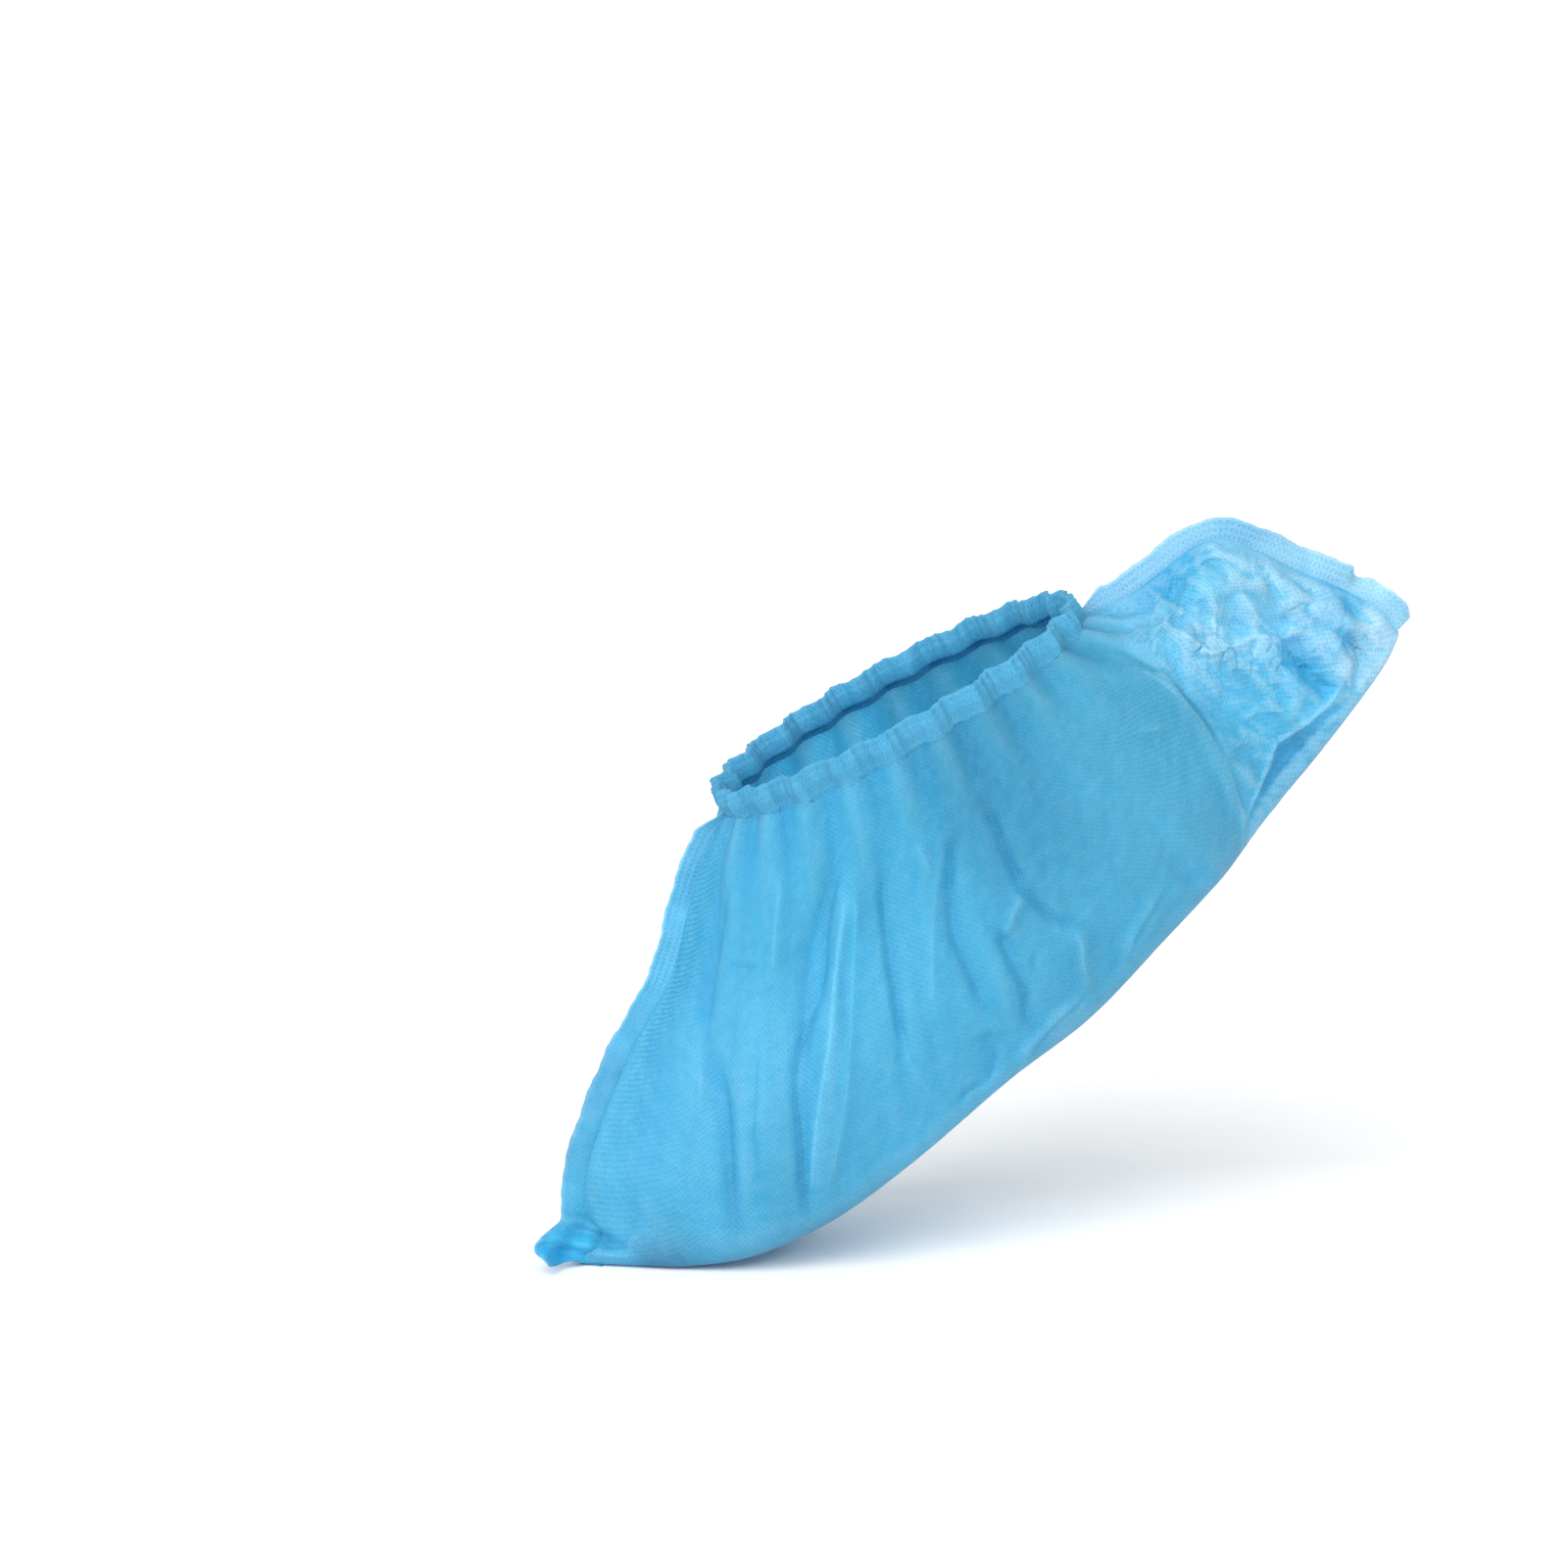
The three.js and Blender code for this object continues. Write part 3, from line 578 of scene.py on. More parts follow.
def facet_height(x, z, corner_x, corner_z, corner_height):
    """Height over facets, each flat between its corners. 0 outside them."""
    triangles = delaunay_2d_cdt([Vector(corner) for corner in zip(corner_x, corner_z)], [], [], 0, 1e-4)[2]
    height = 0 * x
    near = (x > corner_x.min()) & (x < corner_x.max()) & (z > corner_z.min()) & (z < corner_z.max())
    px, pz, local = x[near], z[near], height[near]
    for triangle in triangles:
        (ax, bx, cx), (az, bz, cz), value = (v[list(triangle)] for v in (corner_x, corner_z, corner_height))
        twice = (bx - ax) * (cz - az) - (cx - ax) * (bz - az)
        b = ((px - ax) * (cz - az) - (cx - ax) * (pz - az)) / twice
        c = ((bx - ax) * (pz - az) - (px - ax) * (bz - az)) / twice
        inside = (b >= 0) & (c >= 0) & (b + c <= 1)
        local[inside] = (value[0] * (1 - b - c) + value[1] * b + value[2] * c)[inside]
    height[near] = local
    return height


def crumple_height(x, z, crumple, random):
    """Height of small facets with random corners, longer one way than the other."""
    turn, stretch, size, high, (x1, x2), (z1, z2) = crumple
    turn = math.radians(turn)
    along, across = x * math.cos(turn) + z * math.sin(turn), z * math.cos(turn) - x * math.sin(turn)
    reach = math.hypot(x2 - x1, z2 - z1) / 2
    middle = np.array([(x1 + x2) / 2, (z1 + z2) / 2])
    a0 = middle @ (math.cos(turn), math.sin(turn))
    b0 = middle @ (-math.sin(turn), math.cos(turn))
    a = np.arange(a0 - reach, a0 + reach, size * stretch)
    b = np.arange(b0 - reach, b0 + reach, size)
    a, b = np.meshgrid(a, b)
    a = a + random.uniform(-SCATTER, SCATTER, a.shape) * size * stretch
    b = b + random.uniform(-SCATTER, SCATTER, b.shape) * size
    height = random.uniform(-high, high, a.shape)
    px, pz = a * math.cos(turn) - b * math.sin(turn), a * math.sin(turn) + b * math.cos(turn)
    kept = (px > x1) & (px < x2) & (pz > z1) & (pz < z2)
    return facet_height(along / stretch, across, a[kept] / stretch, b[kept], height[kept])


def small_relief(x, z):
    """The facets that crumple the empty pocket, and the faint ones over the shoe."""
    random = np.random.default_rng(SEED)
    empty = smooth(past_heel(x, z) / 6) * smooth((x - 170) / 25)
    facets = facet_height(x, z, FACETS["x"], FACETS["z"], FACETS["height"])
    height = FACET_SHARE * softened(facets, FACET_SMOOTH)
    height += empty * sum(crumple_height(x, z, crumple, random) for crumple in CRUMPLES["pocket"])
    height += (1 - empty) * sum(crumple_height(x, z, crumple, random) for crumple in CRUMPLES["shoe"])
    return height


def crease_lines(x, z):
    """Height of the fine creases, signed distance to the nearest one, and its mark.

    The mark is how strongly it shows, above 0 on a ridge and below 0 in a valley."""
    height = 0 * x
    aside, mark = 0 * x + MARK_REACH, 0 * x
    edge = past_heel(x, z)
    # The heel's edge gets a bright thread, from stress whitening and a painted sheen.
    on_edge = (abs(edge) < MARK_REACH) & (x > HEEL_EDGE["x"] + 45)
    aside[on_edge] = edge[on_edge]
    mark[on_edge] = 1.4
    for line, width, ridge, step in CREASES:
        far, along, length = distance_to(line, x, z, width)
        d = far / width
        fade = smooth(along * length / (6 * width)) * smooth((1 - along) * length / (6 * width))
        fade = 0.15 + 0.85 * fade
        height += (ridge * np.exp(-(abs(d) ** 1.5)) + step * d * np.exp(-d * d / 2)) * fade
        closer = abs(far) < abs(aside)
        aside = np.where(closer, far, aside)
        mark = np.where(closer, np.clip(ridge / 1.5, -1, 1) * fade, mark)
    return height, aside, mark * smooth(1.5 * (1 - abs(aside) / MARK_REACH))


def distance_to(line, x, z, width):
    """Signed distance to a smooth line, how far along it as a share, and its length.

    Points further away than the crease reaches only get a large distance."""
    path = Curve([(px, 0, pz) for px, pz in line])
    ends = path.at(np.linspace(0, 1, 5 * len(line)))[:, ::2]
    reach = max(4 * width, MARK_REACH)
    near = (x > ends[:, 0].min() - reach) & (x < ends[:, 0].max() + reach)
    near &= (z > ends[:, 1].min() - reach) & (z < ends[:, 1].max() + reach)
    px, pz = x[near], z[near]
    best, aside, along = 1e9 + 0 * px, 0 * px, 0 * px
    for i, ((ax, az), (bx, bz)) in enumerate(zip(ends, ends[1:])):
        dx, dz = bx - ax, bz - az
        t = np.clip(((px - ax) * dx + (pz - az) * dz) / (dx * dx + dz * dz), 0, 1)
        far = np.hypot(px - ax - t * dx, pz - az - t * dz)
        closer = far < best
        best = np.where(closer, far, best)
        aside = np.where(closer, np.copysign(far, (pz - az) * dx - (px - ax) * dz), aside)
        along = np.where(closer, (i + t) / (len(ends) - 1), along)
    whole = 1e3 + 0 * x, 0 * x
    whole[0][near], whole[1][near] = aside, along
    return *whole, path.length


def creased(points, known):
    """The sheet with its creases and facets, and the distance and mark of the creases."""
    x, z, far = near_side(points, known["side"])
    height, aside, mark = crease_lines(x, z)
    height = (height + small_relief(x, z)) * np.where(far, FAR_SIDE["share"], 1)
    share, up = known["share"], known["up"]
    clear = within(up, *FADES["creases"]) * off_ends(share, WELD_FADES["creases"])
    points = points + normals(points) * (height * clear * smooth(known["half"] / 2))[..., None]
    points[..., 2] = np.maximum(points[..., 2], -WALL)
    return points, aside, mark * clear


# ---- materials ----

SKY = (0.070, 0.420, 0.670)  # over the shoe
# How the tone changes over the sheet, with the air or the shoe behind it, and where shade and light are
# painted into it.
TONES = columns(
    "x z reach red green blue",
    # Over the shoe, with painted shade low on the side and at the ankle, and darker at the top of the heel
    # cup.
    (0, 45, 30, 0.064, 0.43, 0.69), (45, 16, 22, 0.05, 0.365, 0.575),
    (62, 66, 30, 0.07, 0.435, 0.675), (60, 120, 30, 0.06, 0.43, 0.675),
    (100, 110, 30, 0.06, 0.43, 0.67), (128, 150, 22, 0.035, 0.31, 0.51),
    (150, 115, 26, 0.06, 0.385, 0.59), (175, 160, 26, 0.068, 0.39, 0.59),
    (185, 195, 16, 0.055, 0.355, 0.54),
    # A turned edge of the sole with painted light on it, and painted shade on its shaded side.
    (150, 83, 6, 0.12, 0.46, 0.69), (195, 132, 7, 0.06, 0.39, 0.62),
    (237, 169, 7, 0.08, 0.43, 0.68),
    # The tip of the toe, and painted shade on the sole's underside below it, where it curves in towards the
    # floor.
    (-16, 16, 10, 0.05, 0.385, 0.62), (-23, 2, 7, 0.045, 0.4, 0.64),
    (-10, 1, 4, 0.04, 0.41, 0.66), (-3, 3, 5, 0.004, 0.2, 0.39), (6, 4, 6, 0.004, 0.2, 0.38),
    (14, 5, 6, 0.01, 0.28, 0.48), (5, 13, 7, 0.06, 0.365, 0.55),
    # The empty pocket: painted shade on its blue facets, then painted light on its pale ones.
    (192, 241, 7, 0.035, 0.4, 0.68), (230, 212, 4, 0.1, 0.52, 0.79),
    (239, 203, 5, 0.055, 0.46, 0.74), (247, 195, 5, 0.085, 0.5, 0.75),
    (259, 213, 4, 0.11, 0.52, 0.78), (262, 228, 4, 0.11, 0.49, 0.74),
    (235, 179, 4, 0.065, 0.42, 0.65), (248, 186, 4, 0.15, 0.57, 0.82),
    (214, 180, 8, 0.095, 0.49, 0.72), (227, 167, 8, 0.1, 0.49, 0.73),
    (227, 196, 7, 0.12, 0.52, 0.75), (214, 202, 7, 0.14, 0.56, 0.81),
    (251, 177, 5, 0.12, 0.49, 0.71), (201, 235, 6, 0.14, 0.55, 0.79),
    (193, 220, 7, 0.19, 0.56, 0.78), (205, 222, 6, 0.29, 0.63, 0.81),
    (221, 243, 7, 0.24, 0.6, 0.8), (235, 236, 7, 0.25, 0.6, 0.8),
    (226, 218, 6, 0.25, 0.61, 0.83), (244, 217, 7, 0.22, 0.58, 0.82),
    (265, 209, 6, 0.4, 0.7, 0.86), (273, 218, 6, 0.36, 0.66, 0.84),
)
# Where the sheet lies below or above its surroundings: rounds of softening, the
# height in millimetres that still counts as flat, and the height of a full fold.
HOLLOWS = {"folds": (24, 0.15, 0.5), "crumples": (2, 0, 0.12)}
FOLD_SHADE = np.array([0.34, 0.10, 0.03])  # painted shade: what a hollow takes from red, green and blue
RIDGE_HIGHLIGHT = {"shoe": 0.03, "pocket": 0.10}  # painted highlight: how far a ridge goes towards white
THREAD = {"width": 0.5, "strength": 0.2}  # the line along a crease: bright on a ridge, from stress whitening and a painted sheen; painted shade in a valley
TOE_TONE = columns(
    "up red green blue",
    (0, 0.035, 0.44, 0.73), (0.05, 0.04, 0.47, 0.76), (0.09, 0.04, 0.36, 0.6),
    (0.3, 0.046, 0.345, 0.57), (0.38, 0.05, 0.35, 0.58), (0.48, 0.09, 0.46, 0.72),
    (0.62, 0.13, 0.54, 0.8), (1, 0.12, 0.48, 0.71),
)
HEEL_TONE = columns(
    "up red green blue",
    (0, 0.4, 0.7, 0.87), (0.2, 0.31, 0.62, 0.81), (1, 0.24, 0.56, 0.79),
)


class Nodes:
    """Adds nodes to a material, linking each input that is given a socket."""

    def __init__(self, name):
        self.material = bpy.data.materials.new(name)
        self.material.use_nodes = True
        self.tree = self.material.node_tree
        self.tree.nodes.clear()

    def add(self, kind, *inputs, **more):
        node = self.tree.nodes.new("ShaderNode" + kind)
        named = {key: more.pop(key) for key in list(more) if not hasattr(node, key)}
        for key, value in more.items():
            setattr(node, key, value)
        for key, value in [*enumerate(inputs), *((k.replace("_", " "), v) for k, v in named.items())]:
            if value is None:
                continue
            if isinstance(value, bpy.types.NodeSocket):
                self.tree.links.new(value, node.inputs[key])
            else:
                node.inputs[key].default_value = value
        return node.outputs

    def math(self, what, a, b=0.0, c=0.0):
        return self.add("Math", a, b, c, operation=what)[0]

    def ramp(self, value, *ends):
        """value taken from the first two ends to the last two, and held beyond them."""
        return self.add("MapRange", value, *ends)[0]

    def scaled(self, colour, factor):
        return self.add("VectorMath", colour, operation="SCALE", Scale=factor)[0]

    def noise(self, where, scale, detail, rough, **more):
        names = {"Scale": scale, "Detail": detail, "Roughness": rough, **more}
        return self.add("TexNoise", where, noise_dimensions="2D", **names)[0]


def fabric(name, tint, attribute=None, marked=False, thin=0.3, pitch=1.5, emboss=0.00016):
    """Spunbond: bond points in a lattice, a cloudy spread of fibres, light through it.

    pitch is millimetres between bond points, emboss their depth in metres and thin
    the share that lets light through. Where marked, creases show as fine lines."""
    n = Nodes(name)
    uv = n.add("UVMap", uv_map="fabric")["UV"]
    rate = 1 / (pitch * MM)
    lattice = n.add("Mapping", uv, Scale=(rate, rate, 1), Rotation=(0, 0, math.pi / 4))[0]
    dots = n.add("TexVoronoi", lattice, Scale=1.0, Randomness=0.35, voronoi_dimensions="2D", feature="F1")[0]
    streaks = n.add("Mapping", uv, Scale=(130, 210, 1))[0]
    cloud = n.noise(streaks, 1.0, 4.0, 0.62)
    fibres = n.noise(uv, 1900.0, 3.0, 0.7, Distortion=0.4)
    long_way = n.add("Mapping", uv, Scale=(85, 13, 1))[0]
    drift = n.noise(long_way, 1.0, 3.0, 0.5)  # long streaks from sole to opening

    # More fibre is paler.
    thick = n.math("ADD", n.math("MULTIPLY", cloud, 0.55), n.math("MULTIPLY", fibres, 0.45))
    if attribute:
        base = n.add("Attribute", attribute_name=attribute)["Color"]
    else:
        base = n.add("RGB")[0]
        base.default_value = (*tint, 1)
    colour = n.scaled(base, n.ramp(thick, 0.3, 0.7, 0.965, 1.025))
    colour = n.scaled(colour, n.ramp(drift, 0.3, 0.7, 0.955, 1.045))
    pale = n.ramp(thick, 0.42, 0.72, 0.0, 0.05)
    colour = n.add("Mix", data_type="RGBA", Factor=pale, A=colour, B=(0.85, 0.93, 0.97, 1))["Result"]
    # The bond points are glassy, and show blue where the sheet is pale.
    red = n.add("SeparateColor", base)[0]
    bonded = n.ramp(red, 0.08, 0.30, 0.95, 0.88)
    bonded = n.ramp(dots, 0.12, 0.46, bonded, 1.025)
    colour = n.scaled(colour, bonded)
    if marked:
        # A bright thread along a ridge, from stress whitening and a painted sheen, and a thread of painted
        # shade along a valley.
        aside = n.add("Attribute", attribute_name="aside")["Fac"]
        mark = n.add("Attribute", attribute_name="mark")["Fac"]
        thread = n.math("POWER", n.math("DIVIDE", aside, THREAD["width"]), 2.0)
        thread = n.math("POWER", math.e, n.math("MULTIPLY", thread, -1.0))
        thread = n.math("MULTIPLY", thread, mark)
        colour = n.scaled(colour, n.math("MULTIPLY_ADD", thread, THREAD["strength"], 1.0))

    puff = n.ramp(dots, 0.10, 0.42, 0.0, 1.0)
    bump = n.add("Bump", Strength=0.9, Distance=emboss, Height=puff)[0]
    bump = n.add("Bump", Strength=0.5, Distance=0.00010, Height=fibres, Normal=bump)[0]
    rough = n.ramp(dots, 0.12, 0.42, 0.25, 0.5)
    front = n.add(
        "BsdfPrincipled",
        Base_Color=colour,
        Roughness=rough,
        Normal=bump,
        **{"Specular IOR Level": 0.4, "Sheen Weight": 0.12, "Sheen Roughness": 0.4},
    )[0]
    through = n.add("BsdfTranslucent", colour, bump)[0]
    shader = n.add("MixShader", thin, front, through)[0]
    n.add("OutputMaterial", shader)
    return n.material


def elastic_material():
    n = Nodes("elastic")
    uv = n.add("UVMap", uv_map="fabric")["UV"]
    ribs = n.add("TexWave", uv, Scale=700.0, Distortion=0.3, bands_direction="Y")[1]
    bump = n.add("Bump", Strength=0.5, Distance=0.0001, Height=ribs)[0]
    shade = n.ramp(ribs, 0.0, 1.0, 0.72, 0.86)
    colour = n.add("CombineColor", shade, shade, shade)[0]
    shader = n.add("BsdfPrincipled", Base_Color=colour, Roughness=0.6, Normal=bump)[0]
    n.add("OutputMaterial", shader)
    return n.material


def paint(obj, colours):
    """A colour for each point of a mesh."""
    layer = obj.data.color_attributes.new(name="tone", type="FLOAT_COLOR", domain="POINT")
    opaque = np.concatenate([colours, np.ones((len(colours), 1))], 1)
    layer.data.foreach_set("color", opaque.astype(np.float32).ravel())


def tones(points, known):
    """Colour of the sheet, mixed from the tones nearest to each point.

    Tones of the pocket and tones of the shoe change over at the heel's edge."""
    x, z, _ = near_side(points, known["side"])
    empty = smooth(past_heel(x, z) / 3) * smooth((x - 150) / 25)
    total, colour = 1e-9, 0
    for tx, tz, reach, *tone in zip(*TONES.values()):
        own = empty if tx > 150 and past_heel(tx, tz) > 0 else 1 - empty
        away = (x - tx) ** 2 + (z - tz) ** 2
        weight = own * (np.exp(-away / reach**2) + 0.001 * np.exp(-away / 3600))
        total, colour = total + weight, colour + weight[..., None] * np.array(tone)
    colour = colour / total[..., None]
    # Painted shade in a fold, bluer as if its light had come through blue cloth before. A painted highlight
    # pales a ridge towards white.
    hollow = hollows(points, *HOLLOWS["folds"])
    hollow = hollow * (1 - 0.3 * empty) + empty * hollows(points, *HOLLOWS["crumples"]) * 0.7
    hollow = np.clip(hollow, -1, 1)[..., None]
    painted_fold_shade = 1 - np.maximum(hollow, 0) * FOLD_SHADE
    pale = RIDGE_HIGHLIGHT["shoe"] + (RIDGE_HIGHLIGHT["pocket"] - RIDGE_HIGHLIGHT["shoe"]) * empty[..., None]
    return colour * painted_fold_shade + (0.95 - colour) * pale * np.maximum(-hollow, 0)


# ---- the pieces ----


def build_sheet():
    points, known = sheet_grid()
    points = settled(points, known)
    points, aside, mark = creased(points, known)
    faces = grid_faces(grid_index(points.shape[:2]))
    uv = np.stack([known["share"] * FLAT[0], known["side"] * known["walked"] * MM], -1)
    material = fabric("nonwoven", None, attribute="tone", marked=True)
    obj = mesh_object("cover_sheet", points, faces, uv.reshape(-1, 2)[faces], material)
    paint(obj, tones(points, known).reshape(-1, 3))
    for name, values in (("aside", aside), ("mark", mark)):
        layer = obj.data.attributes.new(name, "FLOAT", "POINT")
        layer.data.foreach_set("value", values.ravel().astype(np.float32))
    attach(obj, "root")
    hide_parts("cover_front", "cover_middle", "cover_back")
    return obj


def loft(name, sections, uv_scale, ring, material):
    """Closed sections of equal size, skinned in order. uv_scale is metres of fabric along and across."""
    sections = np.asarray(sections, float)
    count, size = sections.shape[:2]
    index = grid_index((count, size))
    index = np.concatenate([index, index[:, :1]], 1)
    if ring:
        index = np.concatenate([index, index[:1]])
    faces = grid_faces(index)
    steps = [np.linspace(0, length, size) for length, size in zip(uv_scale, index.shape)]
    u, v = np.meshgrid(*steps, indexing="ij")
    uvs = np.stack([u, v], -1).reshape(-1, 2)[grid_faces(grid_index(u.shape))].reshape(-1, 2)
    obj = mesh_object(name, sections, faces, uvs, material)
    if not ring:
        b = bmesh.new()
        b.from_mesh(obj.data)
        bmesh.ops.holes_fill(b, edges=[e for e in b.edges if e.is_boundary], sides=0)
        bmesh.ops.triangulate(b, faces=[f for f in b.faces if len(f.verts) > 4])
        b.to_mesh(obj.data)
        b.free()
    return obj


BAND = {
    "steps": 420,
    "across": 24,
    "fabric": 0.018,  # metres of it, out on one face and back on the other
    "thick": 0.9,
    "root": -0.6,
    "taper": 12,
    "pitch": 1.6,
    "depth": 0.22,
    "rows": ((0.16, 0.36), (0.42, 0.62), (0.68, 0.88)),
}
# The toe band's crumpled end.
BUNCH = {"until": 0.11, "fade": 0.04, "thick": 3.6, "crumple": 1.3, "over": 7}


def build_band(name, curve, table, tone, outward, bunched, material):
    """A weld band: two layers pressed together between knurled wheels.

    Where it is bunched, its lower end is crumpled into a lump."""
    up = np.linspace(0, 1, BAND["steps"])
    weld, way = curve.at(up), curve.way(up)
    away = np.stack([-way[:, 2], 0 * up, way[:, 0]], -1) * outward
    away /= np.linalg.norm(away, axis=1, keepdims=True)
    mm = (up * curve.length)[:, None]
    out = lookup(table["up"], table["out"], up)[:, None]
    lean = lookup(table["up"], table["lean"], up)[:, None]
    out = out + 0.25 * np.sin(mm * 0.35) + 0.12 * np.sin(mm * 1.1 + 1)
    out = out * (0.3 + 0.7 * smooth((curve.length - mm) / BAND["taper"]))  # it runs out under the casing

    # Each section runs out on one face and back on the other.
    across = np.linspace(0, 1, BAND["across"])
    share = np.concatenate([across, across[::-1]])
    face = np.concatenate([0 * across - 1, 0 * across + 1])
    knurls = np.sin(2 * np.pi * mm / BAND["pitch"] + 0.9 * np.sin(mm * 0.23))
    dashes = smooth(0.5 + 1.6 * knurls) * (0.75 + 0.25 * np.sin(mm * 0.17 + 2))
    rows = sum(smooth((share - low) / 0.06) * smooth((high - share) / 0.06) for low, high in BAND["rows"])
    pressed = dashes * rows * (1 - bunched * smooth((0.62 - up) / 0.1)[:, None])
    thick = BAND["thick"] / 2 * np.minimum(1, (1.02 - share) / 0.08) - pressed * BAND["depth"]
    bunch = bunched * smooth((BUNCH["until"] - up) / BUNCH["fade"])[:, None]
    end = 0.2 + 0.8 * smooth(up / 0.035)[:, None]
    thick = thick + bunch * end * BUNCH["thick"] / 2 * np.sin(np.pi * np.clip(share, 0.04, 1)) ** 0.7

    root = BAND["root"] - bunch * BUNCH["over"]
    reached = root + (out - root) * share
    ripple = 0.35 * np.sin(mm * 0.25) * share + 0.12 * np.sin(mm * 0.7 + 2) * share**2
    crumple = -np.cos(0.7 * (mm - 7 - 0.12 * reached)) - 0.5 * np.sin(0.55 * reached + 0.35 * mm)
    points = weld[:, None] + away[:, None] * reached[..., None]
    aside = lean * np.clip(reached / out, 0, 1) ** 1.5 + ripple + face * thick
    points[..., 1] += aside + bunch * BUNCH["crumple"] * crumple
    # Over the sheet it follows the toe's slope, and it fills the corner at the weld.
    points[..., 1] += bunch * (0.57 * np.minimum(reached, 0) - 2 * np.exp(-((reached / 4) ** 2)))
    points[..., 2] += bunch * BUNCH["crumple"] * 0.6 * np.sin(0.5 * reached + 0.4 * mm) * share
    points[..., 2] = np.maximum(points[..., 2], -WALL)

    colour = np.stack([lookup(tone["up"], tone[c], up) for c in ("red", "green", "blue")], -1)[:, None]
    colour = colour * (1 - pressed[..., None] * np.array([0.3, 0.12, 0.05]))
    colour = colour + (0.9 - colour) * 0.12 * smooth((share - 0.84) / 0.16)[:, None]  # the cut edge gets a painted sheen, paler towards white
    # Painted shade in the hollows of the crumpled end.
    colour = colour * (1 - (bunch * np.clip(crumple, 0, 1))[..., None] * FOLD_SHADE)
    # Painted shade where the band turns back over the sheet by the weld.
    colour = colour * (1 - 0.15 * smooth(-reached / 5))[..., None]
    # Blotches in the band's own tone, and painted shade along its root beside the sheet.
    patchy = np.sin(0.19 * mm + 0.5 * share) + np.sin(0.083 * mm + 2) + 0.6 * np.sin(0.47 * mm - 2 * share)
    root_shade = smooth((0.3 - share) / 0.3)
    shade = (0.16 * np.clip(patchy, 0, 1) + 0.25 * root_shade)[..., None]
    colour = colour * (1 - shade * np.array([1, 0.4, 0.2]))
    if outward > 0:
        points, colour = points[::-1], colour[::-1]
    obj = loft(name, points, (curve.length * MM, BAND["fabric"]), False, material)
    paint(obj, colour.reshape(-1, 3))
    return obj


PLEATS = 96  # fine ones round the opening, which wander a little
# Steps round the opening, and metres of fabric round it and across its outline.
HEM = {"steps": 960, "fabric": (0.80, 0.024)}
ELASTIC = {"steps": 480, "fabric": (0.36, 0.012)}


def rim_edge(share, side):
    """The opening's edge on the inner face, with its gathers."""
    return rim_point(share, side) + rim_outward(share, side) * gather(share, side)[..., None]


def ring_points(outline, count):
    """A ring round the opening's edge. outline gives out, up and the depth of the pleats."""
    turn = np.arange(count) / count
    side = np.where(turn < 0.5, -1.0, 1.0)
    share = np.where(turn < 0.5, turn * 2, 2 - turn * 2)
    edge, outward = rim_edge(share, side), rim_outward(share, side)
    phase = PLEATS * turn + 0.35 * np.sin(2 * np.pi * 9 * turn) + 0.2 * np.sin(2 * np.pi * 23 * turn)
    fine = 1.2 - 2.0 * abs(np.sin(np.pi * phase)) ** 0.7 + 0.4 * np.sin(2 * np.pi * 31 * turn)
    outline = np.array(outline, float)
    out = outline[None, :, 0] + outline[None, :, 2] * fine[:, None]
    up = outline[None, :, 1] + 0.25 * outline[None, :, 2] * np.cos(2 * np.pi * 41 * turn)[:, None]
    return edge[:, None] + outward[:, None] * out[..., None] + opening_up * up[..., None]


def build_hem(material):
    outline = (
        (1.2, -1.5, 0.1), (1.5, 0.3, 0.15), (1.2, 1.5, 0.25), (1.9, 3.2, 0.3), (2.1, 5.2, 0.35),
        (1.7, 7.4, 0.5), (1.1, 8.6, 0.6), (1.3, 9.6, 0.8), (0.2, 10.4, 0.9), (-0.9, 9.9, 0.8),
        (-1.0, 8.6, 0.6), (-1.9, 7.2, 0.45), (-2.4, 5.2, 0.3), (-2.3, 3.0, 0.25), (-2.2, 1.4, 0.2),
        (-1.9, 1.2, 0.2), (-1.9, 3.0, 0.25), (-2.0, 5.2, 0.3), (-1.5, 7.0, 0.45), (-0.3, 8.2, 0.6),
        (0.9, 7.2, 0.45), (1.4, 5.2, 0.3), (1.2, 3.2, 0.25), (0.6, 1.5, 0.2), (0.9, 0.2, 0.15),
        (0.8, -1.5, 0.1),
    )
    ring = ring_points(outline, HEM["steps"])
    obj = loft("hem_casing", ring, HEM["fabric"], True, material)
    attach(obj, "root")
    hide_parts("ankle_hem")
    return obj


def build_elastic():
    outline = (
        (-0.3, 2.6, 0.1), (-1.0, 2.6, 0.1), (-1.1, 5.0, 0.12), (-1.0, 7.4, 0.1), (-0.3, 7.4, 0.1),
        (-0.2, 5.0, 0.12),
    )
    ring = ring_points(outline, ELASTIC["steps"])
    obj = loft("elastic_cord", ring, ELASTIC["fabric"], True, elastic_material())
    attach(obj, "root")
    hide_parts("elastic_band")
    return obj


sheet = build_sheet()
weld_material = fabric("weld", None, attribute="tone", thin=0.22, emboss=0.00006)
toe_band = build_band("toe_weld", toe_curve, TOE_BAND, TOE_TONE, 1, True, weld_material)
heel_band = build_band("heel_weld", heel_curve, HEEL_BAND, HEEL_TONE, -1, False, weld_material)
for band, node in ((toe_band, "toe_seam"), (heel_band, "heel_seam")):
    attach(band, "root")
    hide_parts(node)
hem = build_hem(fabric("casing", SKY))
elastic = build_elastic()

# ---- the studio ----

TARGET = Vector((0.052, 0, 0.168))  # metres: where the camera and the lights look
# Turn and rise in degrees, metres to the target and in view there, sensor in millimetres.
CAMERA = {"turn": -12, "rise": 12, "distance": 2.0, "view": 0.56, "sensor": 36}
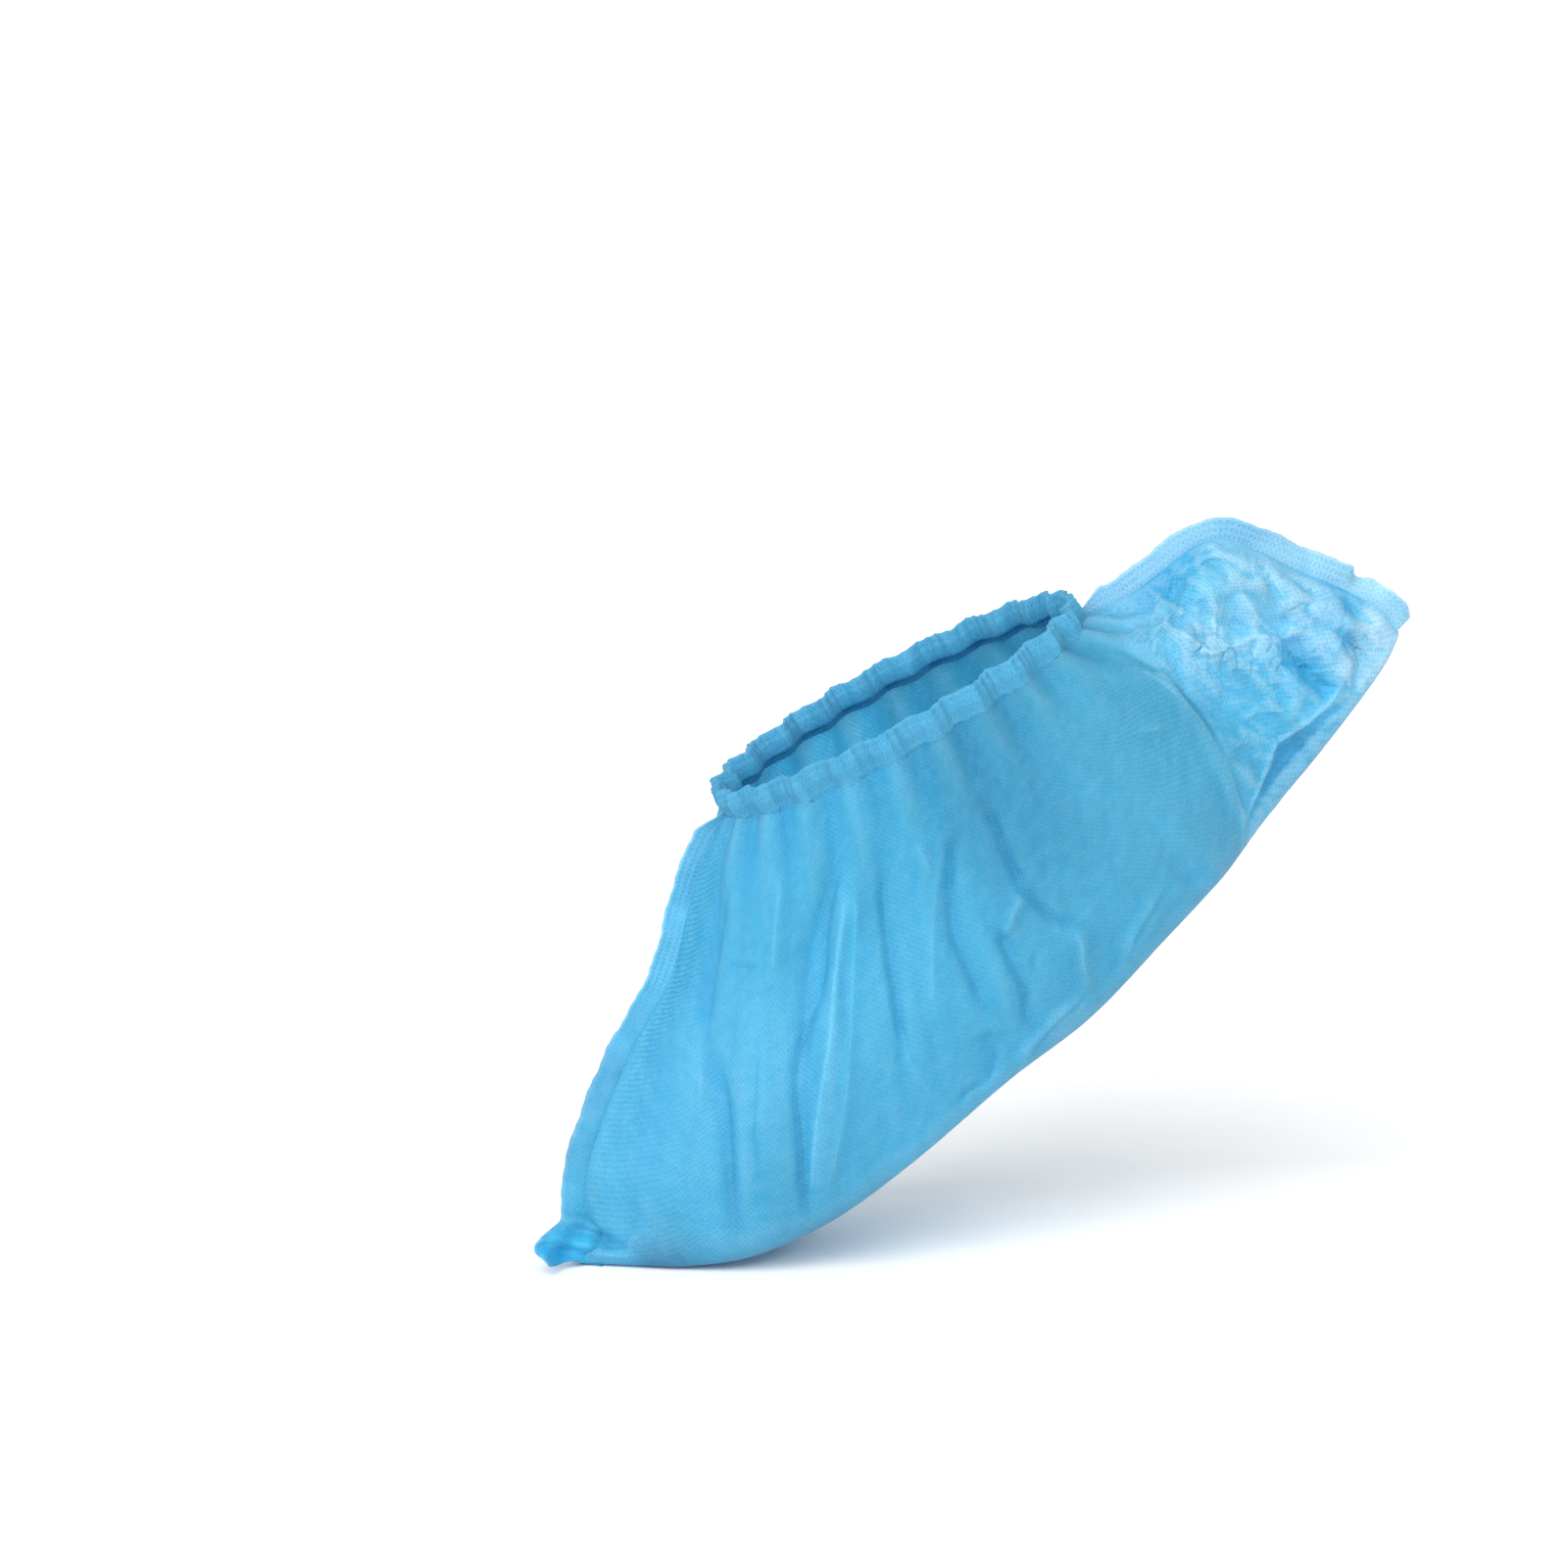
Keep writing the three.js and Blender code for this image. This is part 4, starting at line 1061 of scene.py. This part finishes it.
# Where each light stands in metres, its size (the sun's in degrees) and its power.
LIGHTS = (
    ("key", "SUN", (-1.0, -1.1, 1.4), 60, 2.9),
    ("gleam", "AREA", (1.1, -1.3, 1.2), 0.35, 6),
    ("back", "AREA", (0.9, 1.5, 1.3), 1.2, 6),
)
WORLD_LIGHT = 0.56
FLOOR = {"reach": 20000, "gap": 0.1}


def build_floor():
    n = Nodes("floor")
    where = n.add("TexCoord")["Object"]
    grain = n.add("TexNoise", where, Scale=40.0, Detail=2.0)[0]
    shade = n.ramp(grain, 0.3, 0.7, 0.93, 0.95)
    colour = n.add("CombineColor", shade, shade, shade)[0]
    n.add("OutputMaterial", n.add("BsdfPrincipled", Base_Color=colour, Roughness=0.9)[0])
    reach = FLOOR["reach"]
    corners = [(-reach, -reach, 0), (reach, -reach, 0), (reach, reach, 0), (-reach, reach, 0)]
    floor = mesh_object("floor", corners, [(0, 1, 2, 3)], material=n.material)
    floor.location.z = -(WALL + FLOOR["gap"]) * MM


def add_light(name, kind, place, size, power):
    light = bpy.data.lights.new(name, kind)
    light.energy = power
    obj = placed(name, light)
    if kind == "SUN":
        light.angle = math.radians(size)  # it lights the whole floor evenly, wherever it is
    else:
        light.shape, light.size = "DISK", size
        obj.location = place
    obj.rotation_euler = (TARGET - Vector(place)).to_track_quat("-Z", "Y").to_euler()


def build_camera():
    turn, rise = math.radians(CAMERA["turn"]), math.radians(CAMERA["rise"])
    back = Vector((math.sin(turn) * math.cos(rise), -math.cos(turn) * math.cos(rise), math.sin(rise)))
    data = bpy.data.cameras.new("camera")
    data.sensor_width = CAMERA["sensor"]
    data.lens = data.sensor_width * CAMERA["distance"] / CAMERA["view"]
    obj = placed("camera", data)
    obj.location = TARGET + back * CAMERA["distance"]
    obj.rotation_euler = (-back).to_track_quat("-Z", "Y").to_euler()
    bpy.context.scene.camera = obj


def build_world():
    world = bpy.data.worlds.new("studio")
    world.use_nodes = True
    background = world.node_tree.nodes["Background"]
    background.inputs["Color"].default_value = (1, 1, 1, 1)
    background.inputs["Strength"].default_value = WORLD_LIGHT
    bpy.context.scene.world = world


build_floor()
build_camera()
for light in LIGHTS:
    add_light(*light)
build_world()
bpy.context.scene.view_settings.view_transform = "Standard"
